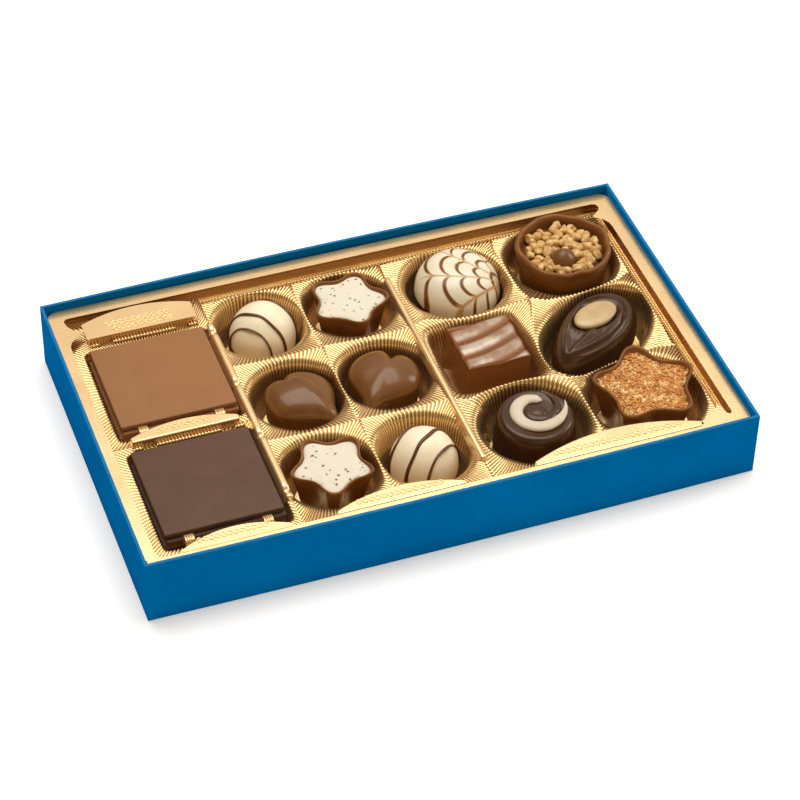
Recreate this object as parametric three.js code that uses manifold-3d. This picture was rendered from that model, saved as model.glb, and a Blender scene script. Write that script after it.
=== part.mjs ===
// A box of chocolate pralines: an open cardboard box, a thin gold thermoformed tray,
// two stacks of thin chocolate squares and twelve pralines.
// Millimetres, +Z up, origin at the bottom centre of the box, +X along its long side.
import * as THREE from 'three'
import { mergeVertices } from 'three/addons/utils/BufferGeometryUtils.js'
import Module from 'manifold-3d'

const wasm = await Module()
wasm.setup()

// ---------------------------------------------------------------- driving dimensions
const BOX_LENGTH = 210
const BOX_WIDTH = 128.8
const BOX_HEIGHT = 25
const BOARD = 1.0                 // cardboard thickness
const WALL_BOW = 0.8              // how far the middle of a long wall stands out

const GAP = 0.3                   // air between pieces that rest on each other
const SHEET = 0.6                 // tray film
const RIM_TOP = 22                // flat rim of the tray, and its label plateaus
const RIM_CORNER = 4
const RIM_CLEARANCE = 0.5         // tray rim to box wall
const FIELD = { x0: -99.7, x1: 98.7, y0: -59.7, y1: 58.5 }   // recess inside the rim
const CREASE = { z: 17, width: 1.6 }                         // narrow floor at the foot of the field wall
const CUP_FLOOR = BOARD + GAP + SHEET
const SEAT = CUP_FLOOR + GAP      // underside of every praline

// rows and columns of the praline cells
const ROW_PITCH = 38
const ROWS = { back: 40.4, middle: 40.4 - ROW_PITCH, front: 40.4 - 2 * ROW_PITCH }
const MINI = { left: -34.4, right: -1.8, radius: 15.6 }      // six small pralines
const CLASSIC = { left: 36.4, right: 77.3 }                  // six large pralines
const CUP_DRAFT = 1.2             // a cup is this much narrower at its floor

// the dish round each cup climbs from its lip; two dishes meet in a ridge
const LIP = 16.3
const DISH = [16, 19.8]           // [distance outside the cup, height there]

// section with the chocolate squares
const WEB_A = { z: 18.8, x1: -51 }
const WELL = { x0: -97, x1: -52.6, depth: 45.6, floor: 11.2, corner: 1.5, draft: 0.6 }
const WELLS_Y = [20.2, -31.8]

const DIVIDERS = [
  { x: -50.9, y0: -48.5, y1: 43.5 },
  { x: 14.3, y0: -48.5, y1: 47.5 }
]
const DIVIDER = { width: 1.6, top: 20.7 }

// ---------------------------------------------------------------- colours
const GOLD = { color: 0xe9c98a, roughness: 0.25, metalness: 1 }
const BLUE = { color: 0x00609a, roughness: 0.5, metalness: 0 }
const MILK = { color: 0x7d4a2a, roughness: 0.35, metalness: 0 }
const DARK = { color: 0x3d2218, roughness: 0.35, metalness: 0 }
const WHITE = { color: 0xf3ead8, roughness: 0.4, metalness: 0 }
const NUT = { color: 0xd2a45c, roughness: 0.6, metalness: 0 }
const CARAMEL = { color: 0xc77f3e, roughness: 0.5, metalness: 0 }

// ---------------------------------------------------------------- helpers
/** Closed geometry -> manifold solid, with merged corners and outward faces. */
function solid(geometry) {
  const bare = geometry.index ? geometry.clone() : geometry
  bare.deleteAttribute('normal')
  bare.deleteAttribute('uv')
  const merged = mergeVertices(bare, 1e-4)
  const p = merged.attributes.position.array
  const index = merged.index.array
  const keep = []
  let volume = 0
  for (let i = 0; i < index.length; i += 3) {
    const [a, b, c] = [index[i], index[i + 1], index[i + 2]]
    if (a === b || b === c || c === a) continue
    keep.push(a, b, c)
    volume += p[3 * a] * (p[3 * b + 1] * p[3 * c + 2] - p[3 * b + 2] * p[3 * c + 1])
    volume += p[3 * a + 1] * (p[3 * b + 2] * p[3 * c] - p[3 * b] * p[3 * c + 2])
    volume += p[3 * a + 2] * (p[3 * b] * p[3 * c + 1] - p[3 * b + 1] * p[3 * c])
  }
  if (volume < 0) keep.reverse()
  return new wasm.Manifold(new wasm.Mesh({
    numProp: 3,
    vertProperties: new Float32Array(p),
    triVerts: new Uint32Array(keep)
  }))
}

/** Manifold solid -> BufferGeometry. */
function geometryOf(shape) {
  const { vertProperties, triVerts } = shape.getMesh()
  const geometry = new THREE.BufferGeometry()
  geometry.setAttribute('position', new THREE.BufferAttribute(new Float32Array(vertProperties), 3))
  geometry.setIndex(new THREE.BufferAttribute(new Uint32Array(triVerts), 1))
  return geometry
}

const joined = shapes => shapes.reduce((sum, shape) => sum.add(shape))

/** Solid of revolution about +Z from [radius, z] pairs that start and end on the axis. */
function turned(profile, segments) {
  const points = profile.map(([r, z]) => new THREE.Vector2(r, z))
  const lathe = new THREE.LatheGeometry(points, segments)
  lathe.rotateX(Math.PI / 2)
  return lathe
}

/** Move every vertex of a geometry by a function of its place. */
function warp(geometry, move) {
  const position = geometry.attributes.position
  for (let i = 0; i < position.count; i++) {
    const [x, y, z] = move(position.getX(i), position.getY(i), position.getZ(i))
    position.setXYZ(i, x, y, z)
  }
  return geometry
}

/** Upright prism of a Shape between two heights. */
function prism(shape, z0, z1, curveSegments = 6) {
  const geometry = new THREE.ExtrudeGeometry(shape, { depth: z1 - z0, bevelEnabled: false, curveSegments })
  geometry.translate(0, 0, z0)
  return geometry
}

/** Axis-aligned block from its two corners. */
function block(x0, x1, y0, y1, z0, z1) {
  const geometry = new THREE.BoxGeometry(x1 - x0, y1 - y0, z1 - z0)
  geometry.translate((x0 + x1) / 2, (y0 + y1) / 2, (z0 + z1) / 2)
  return solid(geometry)
}

/** Rectangle with round corners, as a Shape. */
function roundedRectangle(x0, x1, y0, y1, r) {
  const s = new THREE.Shape()
  s.moveTo(x0 + r, y0)
  s.lineTo(x1 - r, y0)
  s.absarc(x1 - r, y0 + r, r, -Math.PI / 2, 0)
  s.lineTo(x1, y1 - r)
  s.absarc(x1 - r, y1 - r, r, 0, Math.PI / 2)
  s.lineTo(x0 + r, y1)
  s.absarc(x0 + r, y1 - r, r, Math.PI / 2, Math.PI)
  s.lineTo(x0, y0 + r)
  s.absarc(x0 + r, y0 + r, r, Math.PI, 1.5 * Math.PI)
  return s
}

const group = new THREE.Group()
const at = (shape, x, y, z = 0) => shape.translate([x, y, z])

function add(name, shape, finish) {
  const mesh = new THREE.Mesh(geometryOf(shape), new THREE.MeshStandardMaterial(finish))
  mesh.name = name
  group.add(mesh)
}

const DEG = Math.PI / 180

// ---------------------------------------------------------------- cardboard box
/** Plan of the box at a distance inside its outer face; the long walls bow outwards. */
function boxPlan(inset) {
  const x = BOX_LENGTH / 2 - inset
  const y = BOX_WIDTH / 2 - inset
  const s = new THREE.Shape()
  s.moveTo(-x, -y)
  s.quadraticCurveTo(0, -y - 2 * WALL_BOW, x, -y)
  s.lineTo(x, y)
  s.quadraticCurveTo(0, y + 2 * WALL_BOW, -x, y)
  s.lineTo(-x, -y)
  return s
}

const boxInside = solid(prism(boxPlan(BOARD), BOARD, BOX_HEIGHT + 1, 8))
add('box', solid(prism(boxPlan(0), 0, BOX_HEIGHT, 8)).subtract(boxInside), BLUE)

// ---------------------------------------------------------------- gold tray
const ABOVE = RIM_TOP + 3         // hollows are cut up to here, clear of the rim
const BELOW = -5
const CELL_SEGMENTS = 18

/** Round cup hollow, grown by g on its hidden side. */
function roundCup(radius, g) {
  const profile = [
    [0, CUP_FLOOR - g], [radius - CUP_DRAFT + g, CUP_FLOOR - g],
    [radius + g, LIP + 0.4], [0, LIP + 0.4]
  ]
  return turned(profile, CELL_SEGMENTS)
}

/** Dish hollow round a cup of the given radius. */
function dish(radius) {
  const [reach, z] = DISH
  return turned([[0, LIP], [radius, LIP], [radius + reach, z], [radius + reach, ABOVE], [0, ABOVE]], CELL_SEGMENTS)
}

/** Tapered well with a rounded rectangular plan, grown by g. */
function well(x0, x1, y0, y1, corner, floor, draft, g) {
  const height = ABOVE - floor
  const geometry = prism(roundedRectangle(x0 - g, x1 + g, y0 - g, y1 + g, corner + g), floor - g, ABOVE, 2)
  const [cx, cy] = [(x0 + x1) / 2, (y0 + y1) / 2]
  return solid(warp(geometry, (x, y, z) => {
    const inward = draft * (1 - (z - floor + g) / (height + g))
    return [x - Math.sign(x - cx) * inward, y - Math.sign(y - cy) * inward, z]
  }))
}

// the cell of the large almond-shaped praline is an oval that lies across it
const ALMOND_CELL = { x: 74.8, y: 0.9, length: 52.4, width: 33, turn: 35.5 * DEG }
const SQUARE_CELL = { x: 33.2, y: 1.2, halfX: 15.8, halfY: 16.5, corner: 3 }

function ovalled(geometry, radius) {
  const { x: cx, y: cy, length, width, turn } = ALMOND_CELL
  const [sx, sy] = [length / 2 / radius, width / 2 / radius]
  return warp(geometry, (x, y, z) => {
    const [u, v] = [x * sx, y * sy]
    return [cx + u * Math.cos(turn) - v * Math.sin(turn), cy + u * Math.sin(turn) + v * Math.cos(turn), z]
  })
}

// each large praline has a cup of its own width, the small ones share one
const ROUND_CELLS = [
  ...Object.values(ROWS).flatMap(y => [MINI.left, MINI.right].map(x => [x, y, MINI.radius])),
  [CLASSIC.left, ROWS.back - 1.1, 18.6],
  [CLASSIC.right, ROWS.back + 0.3, 19.9],
  [CLASSIC.left, ROWS.front, 19.5],
  [CLASSIC.right, ROWS.front - 0.2, 19.2]
]

/** D-shaped label plateau: straight on one side, an arc of the given rise on the other. */
function plateau({ x0, x1, y, end, rise }, inset) {
  const s = new THREE.Shape()
  s.moveTo(x0 + inset, y + inset)
  s.lineTo(x1 - inset, y + inset)
  s.lineTo(x1 - inset, y + end - inset)
  s.quadraticCurveTo((x0 + x1) / 2, y + end + 2 * (rise - end) - inset, x0 + inset, y + end - inset)
  s.lineTo(x0 + inset, y + inset)
  return s
}

const PLATEAUS = [
  { x0: -93, x1: -55.5, y: 46.5, end: 7, rise: 10.8 },
  { x0: -93, x1: -56, y: -7, end: 2.2, rise: 6 },
  { x0: -91, x1: -55, y: -61, end: 2, rise: 6.7 },
  { x0: -40, x1: 4, y: -61, end: 3, rise: 8 },
  { x0: 28, x1: 88, y: -61, end: 3.5, rise: 10.2 }
]

// corners of the rim that reach into the field as pointed tongues
const TONGUES = [
  [[-101, 51.8], [-101, 44], [-99.3, 45.5], [-93.6, 50.9], [-96.3, 51.8]],
  [[100, 57], [97.9, 55.4], [94.9, 52.6], [93.8, 51.9], [97, 49.6], [98.5, 46.9], [100, 44]],
  [[87, -61], [87, -57.8], [93.6, -54.4], [95.5, -51.2], [96.3, -53.5], [96.9, -56.9], [100, -57.2], [100, -61]]
]

const outline = corners => new THREE.Shape(corners.map(([x, y]) => new THREE.Vector2(x, y)))

const OVAL_BASIS = 18.6           // radius of the round cup that is drawn out to the oval one

/** Webs between the cups: ridged dishes on the visible side, one flat face on the hidden side. */
function webs(g) {
  const section = z => block(WEB_A.x1 - g, FIELD.x1 + g, FIELD.y0 - g, FIELD.y1 + g, z, ABOVE)
  if (g > 0) return section(LIP - g)
  const dishes = [
    ...ROUND_CELLS.map(([x, y, r]) => at(solid(dish(r)), x, y)),
    at(solid(dish(SQUARE_CELL.halfX + 2)), SQUARE_CELL.x, SQUARE_CELL.y),
    solid(ovalled(dish(OVAL_BASIS), OVAL_BASIS)),
    block(WEB_A.x1, FIELD.x1, FIELD.y1 - CREASE.width, FIELD.y1, CREASE.z, ABOVE),
    block(FIELD.x1 - CREASE.width, FIELD.x1, FIELD.y0, FIELD.y1, CREASE.z, ABOVE)
  ]
  return joined(dishes).intersect(section(LIP - 1))
}

/** Everything that is pressed into the rim plane; g grows it to the hidden side of the film. */
function pressedHollows(g) {
  const bounds = block(FIELD.x0 - g, FIELD.x1 + g, FIELD.y0 - g, FIELD.y1 + g, BELOW, ABOVE)
  const { x, y, halfX, halfY, corner } = SQUARE_CELL
  const parts = [
    webs(g),
    ...ROUND_CELLS.map(([cx, cy, r]) => at(solid(roundCup(r, g)), cx, cy)),
    solid(ovalled(roundCup(OVAL_BASIS, g), OVAL_BASIS)),
    well(x - halfX, x + halfX, y - halfY, y + halfY, corner, CUP_FLOOR, CUP_DRAFT, g),
    block(FIELD.x0 - g, WEB_A.x1, FIELD.y0 - g, FIELD.y1 + g, WEB_A.z - g, ABOVE),
    ...WELLS_Y.map(middle => well(WELL.x0, WELL.x1, middle - WELL.depth / 2, middle + WELL.depth / 2,
      WELL.corner, WELL.floor, WELL.draft, g))
  ]
  let hollow = joined(parts).intersect(bounds)
  const standing = [...PLATEAUS.map(p => plateau(p, g)), ...(g > 0 ? [] : TONGUES.map(corner => outline(corner)))]
  for (const shape of standing) {
    hollow = hollow.subtract(solid(prism(shape, BELOW, g > 0 ? RIM_TOP - g : ABOVE + 1, 5)))
  }
  return hollow
}

// small blocks on the front edge of each well, which keep the squares in place
const LUG = { xs: [-87.5, -62], halfWidth: 1.6, front: 2, back: 2.4 }
const lugs = WELLS_Y.flatMap(y => LUG.xs.map(x => [x, y - WELL.depth / 2]))

function standingBars() {
  const bars = DIVIDERS.map(({ x, y0, y1 }) =>
    block(x - DIVIDER.width / 2, x + DIVIDER.width / 2, y0, y1, BELOW, DIVIDER.top))
  const blocks = lugs.map(([x, y]) =>
    block(x - LUG.halfWidth, x + LUG.halfWidth, y - LUG.front, y + LUG.back, BELOW, DIVIDER.top))
  return joined([...bars, ...blocks])
}

const railX = BOX_LENGTH / 2 - BOARD - RIM_CLEARANCE
const railY = BOX_WIDTH / 2 - BOARD - RIM_CLEARANCE
const rimPlan = roundedRectangle(-railX, railX, -railY, railY, RIM_CORNER)
const rimPlate = solid(prism(rimPlan, RIM_TOP - SHEET, RIM_TOP, 5))
const rimColumn = solid(prism(rimPlan, BELOW, RIM_TOP, 5))
const visibleHollow = pressedHollows(0).subtract(standingBars())
const tray = rimPlate.add(pressedHollows(SHEET).intersect(rimColumn)).subtract(visibleHollow)
add('tray', tray, GOLD)

// ---------------------------------------------------------------- stacks of chocolate squares
const PLATE = { side: 39, thickness: 1.95, bevel: 0.5, count: 4 }
const PLATE_STEP = PLATE.thickness + GAP
const STACKS = [
  { name: 'milk_plate', x: -74.4, y: 22.1, finish: MILK },
  { name: 'dark_plate', x: -74.8, y: -29.7, finish: DARK }
]
// each plate lies a little out of line with the one below
const SLIPS = [[0.5, -0.7], [-0.5, -0.3], [0.4, -1.1], [0, 0]]

function plate() {
  const half = PLATE.side / 2 - PLATE.bevel
  const square = outline([[-half, -half], [half, -half], [half, half], [-half, half]])
  const geometry = new THREE.ExtrudeGeometry(square, {
    depth: PLATE.thickness - 2 * PLATE.bevel,
    bevelThickness: PLATE.bevel,
    bevelSize: PLATE.bevel,
    bevelSegments: 1
  })
  // the bevel is wanted on the upper edge only: the lower one is pressed flat
  return solid(warp(geometry, (x, y, z) => {
    const grow = z < -0.01 ? (half + PLATE.bevel) / half : 1
    return [x * grow, y * grow, z + PLATE.bevel]
  }))
}

for (const { name, x, y, finish } of STACKS) {
  for (let i = 0; i < PLATE.count; i++) {
    const [dx, dy] = SLIPS[i]
    add(`${name}_${i + 1}`, at(plate(), x + dx, y + dy, WELL.floor + GAP + i * PLATE_STEP), finish)
  }
}

// ---------------------------------------------------------------- white domes with dark stripes
const DOME = { radius: 11.4, waist: 9.7, top: 22.2, foot: 10.4 }
const STRIPE = 0.6                // radius of a poured stripe, half sunk in the dome

/** Radius of the dome at a height. */
function domeRadius(z) {
  if (z < DOME.waist) {
    const t = (DOME.waist - z) / (DOME.waist - SEAT)
    return DOME.radius - (DOME.radius - DOME.foot) * t * t
  }
  const t = (z - DOME.waist) / (DOME.top - DOME.waist)
  return DOME.radius * Math.sqrt(Math.max(0, 1 - t * t))
}

function domeBody() {
  const steps = 7
  const profile = [[0, SEAT]]
  for (let i = 0; i <= 2; i++) {
    const z = SEAT + (DOME.waist - SEAT) * i / 2
    profile.push([domeRadius(z), z])
  }
  for (let i = 1; i < steps; i++) {
    const a = (Math.PI / 2) * i / steps
    profile.push([DOME.radius * Math.cos(a), DOME.waist + (DOME.top - DOME.waist) * Math.sin(a)])
  }
  profile.push([0, DOME.top])
  return solid(turned(profile, 18))
}

/** A stripe poured in the upright plane whose distance from the dome's axis is offset. */
function domeStripe(offset, direction) {
  const points = []
  const steps = 12
  const low = 8
  const half = Math.sqrt(domeRadius(low) ** 2 - offset ** 2)
  const [nx, ny] = [Math.cos(direction), Math.sin(direction)]
  for (let i = 0; i <= steps; i++) {
    const along = half * Math.sin(Math.PI * (i / steps - 0.5))
    const r2 = (along ** 2 + offset ** 2) / DOME.radius ** 2
    const z = DOME.waist + (DOME.top - DOME.waist) * Math.sqrt(Math.max(0, 1 - r2))
    points.push(new THREE.Vector3(nx * offset - ny * along, ny * offset + nx * along, z))
  }
  const curve = new THREE.CatmullRomCurve3(points)
  const corners = [0, 1, 2, 3, 4].map(k => new THREE.Vector2(
    STRIPE * Math.cos(72 * k * DEG), STRIPE * Math.sin(72 * k * DEG)))
  return solid(new THREE.ExtrudeGeometry(new THREE.Shape(corners), {
    extrudePath: curve, steps: 7, bevelEnabled: false
  }))
}

const DOMES = [
  { name: 'striped_dome_back', x: -32.2, y: ROWS.back + 1.7, direction: -136 * DEG, stripes: [8.1, 3.8, -4.7] },
  { name: 'striped_dome_front', x: -1.5, y: ROWS.front + 1.2, direction: -55 * DEG, stripes: [-7.4, 0.9, 7.3] }
]
for (const { name, x, y, direction, stripes } of DOMES) {
  const parts = [domeBody(), ...stripes.map(offset => domeStripe(offset, direction))]
  add(name, at(joined(parts), x, y), WHITE)
}

// ---------------------------------------------------------------- star cups with their fillings
/** Five-pointed star with round points: 1 at a point, `valley` between two points. */
function starFactor(angle, valley, phase) {
  const wave = 0.5 + 0.5 * Math.cos(5 * (angle - phase))
  return valley + (1 - valley) * wave ** 1.3
}

function starred(geometry, valley, phase) {
  return warp(geometry, (x, y, z) => {
    const f = starFactor(Math.atan2(y, x), valley, phase)
    return [x * f, y * f, z]
  })
}

const STAR_SEGMENTS = 30
const CROWN = 0.8                 // rise of a filling towards its middle
const STAR_VALLEY = 0.73

function starCup({ radius, top, wall, depth, taper, phase }) {
  const outer = [[0, SEAT], [radius * taper, SEAT], [radius * (taper + 0.08), (SEAT + top) / 2], [radius, top - 0.8],
    [radius - 0.3, top], [radius - wall, top], [radius - wall, top - depth], [0, top - depth]]
  return solid(starred(turned(outer, STAR_SEGMENTS), STAR_VALLEY, phase))
}

function starFilling({ radius, top, wall, depth, level, phase, rings, bumps }) {
  const r = radius - wall - GAP
  const z = top - depth + GAP
  const profile = [[0, z], [r, z], [r, top - level]]
  for (const share of rings) profile.push([r * share, top - level + CROWN * (1 - share)])
  profile.push([0, top - level + CROWN])
  const geometry = starred(turned(profile, STAR_SEGMENTS), STAR_VALLEY, phase)
  return solid(warp(geometry, (x, y, h) => {
    const inside = h > top - level && Math.hypot(x, y) > 0.1
    const wave = Math.sin(2.9 * x + 1.3 * y) * Math.cos(2.3 * y - 1.1 * x)
    return [x, y, inside ? h + bumps * wave : h]
  }))
}

const MINI_STAR = { radius: 15, top: 20, wall: 1.9, depth: 2.2, taper: 0.72, level: 0.9, rings: [0.6], bumps: 0 }
const STARS = [
  { name: 'star_cup_back', filling: 'star_filling_back', x: -2.2, y: 40, ...MINI_STAR, phase: 131 * DEG, inside: WHITE },
  { name: 'star_cup_front', filling: 'star_filling_front', x: -33.9, y: -35.3, ...MINI_STAR, phase: 111.3 * DEG,
    inside: WHITE },
  { name: 'crystal_star_cup', filling: 'crystal_filling', x: 77.4, y: -34.7, radius: 18.4, top: 22, wall: 2.3,
    depth: 3, taper: 0.7, level: 1.2, rings: [0.88, 0.75, 0.6, 0.45, 0.28], bumps: 0.35, phase: 83.5 * DEG, inside: CARAMEL }
]
for (const star of STARS) {
  add(star.name, at(starCup(star), star.x, star.y), MILK)
  add(star.filling, at(starFilling(star), star.x, star.y), star.inside)
}

// ---------------------------------------------------------------- hearts
/** Outline radius of a heart about its middle: cleft at angle 0, tip at the far side. */
function heartRadius(angle) {
  const a = Math.abs(Math.atan2(Math.sin(angle), Math.cos(angle)))
  const lobe = 12.1 - 3.3 * Math.exp(-((a / 0.42) ** 2))
  const tip = 1.6 * Math.exp(-(((Math.PI - a) / 0.38) ** 2))
  const waist = -1.6 * Math.exp(-(((a - 2.25) / 0.45) ** 2))
  return lobe + tip + waist
}

const HEART = { top: 20.3, shoulder: 14, foot: 0.88, crease: 2.2 }

function heart(cleft) {
  const rise = HEART.top - HEART.shoulder
  const profile = [[0, SEAT], [HEART.foot, SEAT], [0.97, 6], [1, HEART.shoulder - 1.5]]
  for (const a of [20, 42, 62, 78]) profile.push([Math.cos(a * DEG), HEART.shoulder + rise * Math.sin(a * DEG)])
  profile.push([0, HEART.top])
  return solid(warp(turned(profile, 28), (x, y, z) => {
    const angle = Math.atan2(y, x) - cleft
    const r = Math.hypot(x, y)
    const away = Math.cos(angle) * r
    const across = Math.sin(angle) * r
    const groove = z > HEART.shoulder && away > -0.2
      ? HEART.crease * Math.exp(-((across / 0.16) ** 2)) * Math.min(1, away + 0.2) : 0
    const scale = r > 1e-6 ? heartRadius(angle) : 0
    return [x * scale, y * scale, z - groove]
  }))
}

add('heart_left', at(heart(118 * DEG), -33.8, ROWS.middle + 0.4), MILK)
add('heart_right', at(heart(60 * DEG), -2.4, ROWS.middle + 1), MILK)

// ---------------------------------------------------------------- feathered oval on a dark base
const OVAL = { x: 38.3, y: 40.4, halfX: 14.2, halfY: 15.2, split: 8.4, waist: 10, top: 24.8 }

function ovalRing(profile) {
  return solid(warp(turned(profile, 28), (x, y, z) => [x * OVAL.halfX, y * OVAL.halfY, z]))
}

add('oval_base', at(ovalRing([[0, SEAT], [0.88, SEAT], [0.98, 4.5], [1.01, OVAL.split], [0, OVAL.split]]),
  OVAL.x, OVAL.y), DARK)
const shell = [[0, OVAL.split + GAP], [0.985, OVAL.split + GAP], [1, OVAL.waist]]
for (const a of [18, 36, 52, 66, 79]) {
  shell.push([Math.cos(a * DEG), OVAL.waist + (OVAL.top - OVAL.waist) * Math.sin(a * DEG)])
}
shell.push([0, OVAL.top])
add('oval_shell', at(ovalRing(shell), OVAL.x, OVAL.y), WHITE)

// ---------------------------------------------------------------- cup of nut crumble with a chocolate drop
const NUT_CUP = { x: 76.8, y: 39.2, rim: 16.7, inner: 13.3, foot: 13.2, top: 24, bed: 19.8 }

const cupProfile = [
  [0, SEAT], [NUT_CUP.foot, SEAT], [15.4, 12], [NUT_CUP.rim, NUT_CUP.top - 1.2], [NUT_CUP.rim - 0.8, NUT_CUP.top],
  [NUT_CUP.inner, NUT_CUP.top - 0.2], [NUT_CUP.inner - 0.4, NUT_CUP.bed - 1.5], [0, NUT_CUP.bed - 1.5]
]
const wavyCup = warp(turned(cupProfile, 28), (x, y, z) => {
  const a = Math.atan2(y, x)
  const wave = 1 + 0.012 * Math.sin(5 * a + 0.6) + 0.008 * Math.sin(9 * a)
  return [x * wave, y * wave, z]
})
add('nut_cup', at(solid(wavyCup), NUT_CUP.x, NUT_CUP.y), MILK)

/** Seeded pseudo-random numbers between 0 and 1. */
function randomFrom(seed) {
  let state = seed
  return () => {
    state = (state * 1664525 + 1013904223) % 4294967296
    return state / 4294967296
  }
}

const DROP = { x: -1.6, y: -4.4, radius: 3.6, foot: NUT_CUP.bed - 0.1, top: 24.7 }

function crumble() {
  const random = randomFrom(7)
  const bedRadius = NUT_CUP.inner - 1.2
  const bedFoot = NUT_CUP.bed - 1.2
  const bed = solid(turned([[0, bedFoot], [bedRadius, bedFoot], [bedRadius, NUT_CUP.bed], [0, NUT_CUP.bed + 0.6]], 20))
  const pieces = [bed]
  const golden = Math.PI * (3 - Math.sqrt(5))
  const count = 36
  for (let i = 0; i < count; i++) {
    const r = (bedRadius - 1.3) * Math.sqrt((i + 0.5) / count)
    const [x, y] = [r * Math.cos(i * golden), r * Math.sin(i * golden)]
    if (Math.hypot(x - DROP.x, y - DROP.y) < DROP.radius + 1.9) continue
    const nugget = new THREE.IcosahedronGeometry(1.45 + 0.35 * random(), 0)
    nugget.scale(1.05, 0.9, 0.85)
    nugget.rotateX(random() * Math.PI)
    nugget.rotateZ(random() * Math.PI)
    pieces.push(at(solid(nugget), x, y, NUT_CUP.bed + 0.7 + 0.6 * random()))
  }
  const seat = solid(turned([[0, 0], [DROP.radius + GAP, 0], [DROP.radius + GAP, 9], [0, 9]], 14))
  return joined(pieces).subtract(at(seat, DROP.x, DROP.y, DROP.foot - GAP))
}

add('nut_crumble', at(crumble(), NUT_CUP.x, NUT_CUP.y), NUT)
const dropProfile = [[0, DROP.foot], [DROP.radius - 0.3, DROP.foot], [DROP.radius, DROP.foot + 1.2],
  [2.6, DROP.foot + 3], [1.1, DROP.foot + 4.4], [0, DROP.top]]
add('chocolate_drop', at(solid(turned(dropProfile, 14)), NUT_CUP.x + DROP.x, NUT_CUP.y + DROP.y), MILK)

// ---------------------------------------------------------------- square praline with a wavy top
const SQUARE = { x: 35.4, y: 3.3, top: 20.3, half: 11, flare: 0.7, waves: 0.55 }

function squarePraline() {
  const geometry = new THREE.BoxGeometry(2 * SQUARE.half, 2 * SQUARE.half, 2, 4, 16, 1)
  return solid(warp(geometry, (x, y, z) => {
    if (z > 0) {
      const wave = Math.sin(1.06 * (y - 0.42 * x) + 0.5 * Math.sin(0.22 * x))
      return [x, y, SQUARE.top + SQUARE.waves * wave]
    }
    const grow = 1 + SQUARE.flare / SQUARE.half
    return [x * grow, y * grow, SEAT]
  }))
}

add('square_praline', at(squarePraline(), SQUARE.x, SQUARE.y), MILK)

// ---------------------------------------------------------------- almond-shaped praline with a nut slice
const ALMOND = { x: 74.1, y: 2.2, half: 21.2, width: 11.8, turn: 39 * DEG }

/** Plan point of the almond form: pointed at one end, broad and round at the other. */
function almondPlan(angle, scale) {
  const u = Math.cos(angle)
  const broad = 1 + 0.16 * u
  const [along, across] = [ALMOND.half * u * scale, ALMOND.width * Math.sin(angle) * broad * scale]
  const [c, s] = [Math.cos(ALMOND.turn), Math.sin(ALMOND.turn)]
  return [along * c - across * s, along * s + across * c]
}

const NUT_SLICE = { x: 75.4, y: 4.6, half: 8.6, width: 5.2, turn: 22 * DEG, foot: 19.6, thickness: 1.6 }

function ellipseTurned(levels, { x, y, half, width, turn }) {
  return solid(warp(turned(levels, 24), (px, py, z) => {
    const [u, v] = [px * half, py * width]
    return [x + u * Math.cos(turn) - v * Math.sin(turn), y + u * Math.sin(turn) + v * Math.cos(turn), z]
  }))
}

const almondProfile = [[0, SEAT], [0.86, SEAT], [0.97, 7], [1, 11], [0.97, 14], [0.88, 16.6], [0.75, 18.4],
  [0.6, 18.8], [0.52, 19.9], [0.36, 20.2], [0, 20.2]]
const almondBody = solid(warp(turned(almondProfile, 26), (x, y, z) => {
  const [px, py] = almondPlan(Math.atan2(y, x), Math.hypot(x, y))
  return [ALMOND.x + px, ALMOND.y + py, z]
}))
const sliceFoot = NUT_SLICE.foot
const sliceSeat = ellipseTurned([[0, sliceFoot - GAP], [1, sliceFoot - GAP], [1, 30], [0, 30]],
  { ...NUT_SLICE, half: NUT_SLICE.half + GAP, width: NUT_SLICE.width + GAP })
add('almond_praline', almondBody.subtract(sliceSeat), DARK)
add('nut_slice', ellipseTurned([[0, sliceFoot], [0.97, sliceFoot], [1, sliceFoot + 0.7],
  [0.86, sliceFoot + NUT_SLICE.thickness], [0, sliceFoot + NUT_SLICE.thickness + 0.3]], NUT_SLICE), NUT)

// ---------------------------------------------------------------- dark praline with a white swirl
const SWIRL = { x: 37.4, y: -35.6, foot: 13.6, shoulder: 12.6, top: 20.4, inlay: 1.4, proud: 0.6 }

const swirlBody = solid(turned([[0, SEAT], [SWIRL.foot, SEAT], [SWIRL.foot + 0.5, 7], [SWIRL.shoulder + 0.7, 15],
  [SWIRL.shoulder, 18.4], [SWIRL.shoulder - 1.6, SWIRL.top], [0, SWIRL.top + 0.2]], 28))

/** Band of white chocolate that winds inwards from a pointed tail at the rim. */
function swirlBand(grow, z0, z1) {
  const steps = 20
  const [startAngle, turn] = [8 * DEG, -400 * DEG]
  const outer = []
  const inner = []
  for (let i = 0; i <= steps; i++) {
    const t = i / steps
    const angle = startAngle + turn * t
    const middle = 10.4 - 7.1 * t ** 1.15
    const width = 1.9 * Math.min(1, 0.1 + 3.4 * t) * (1 - 0.25 * t) + grow
    outer.push(new THREE.Vector2((middle + width) * Math.cos(angle), (middle + width) * Math.sin(angle)))
    inner.push(new THREE.Vector2((middle - width) * Math.cos(angle), (middle - width) * Math.sin(angle)))
  }
  return solid(prism(new THREE.Shape([...outer, ...inner.reverse()]), z0, z1))
}

const inlayFoot = SWIRL.top - SWIRL.inlay
add('swirl_praline', at(swirlBody.subtract(swirlBand(GAP, inlayFoot - GAP, 30)), SWIRL.x, SWIRL.y), DARK)
add('white_swirl', at(swirlBand(0, inlayFoot, SWIRL.top + SWIRL.proud), SWIRL.x, SWIRL.y), WHITE)

export default group
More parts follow.
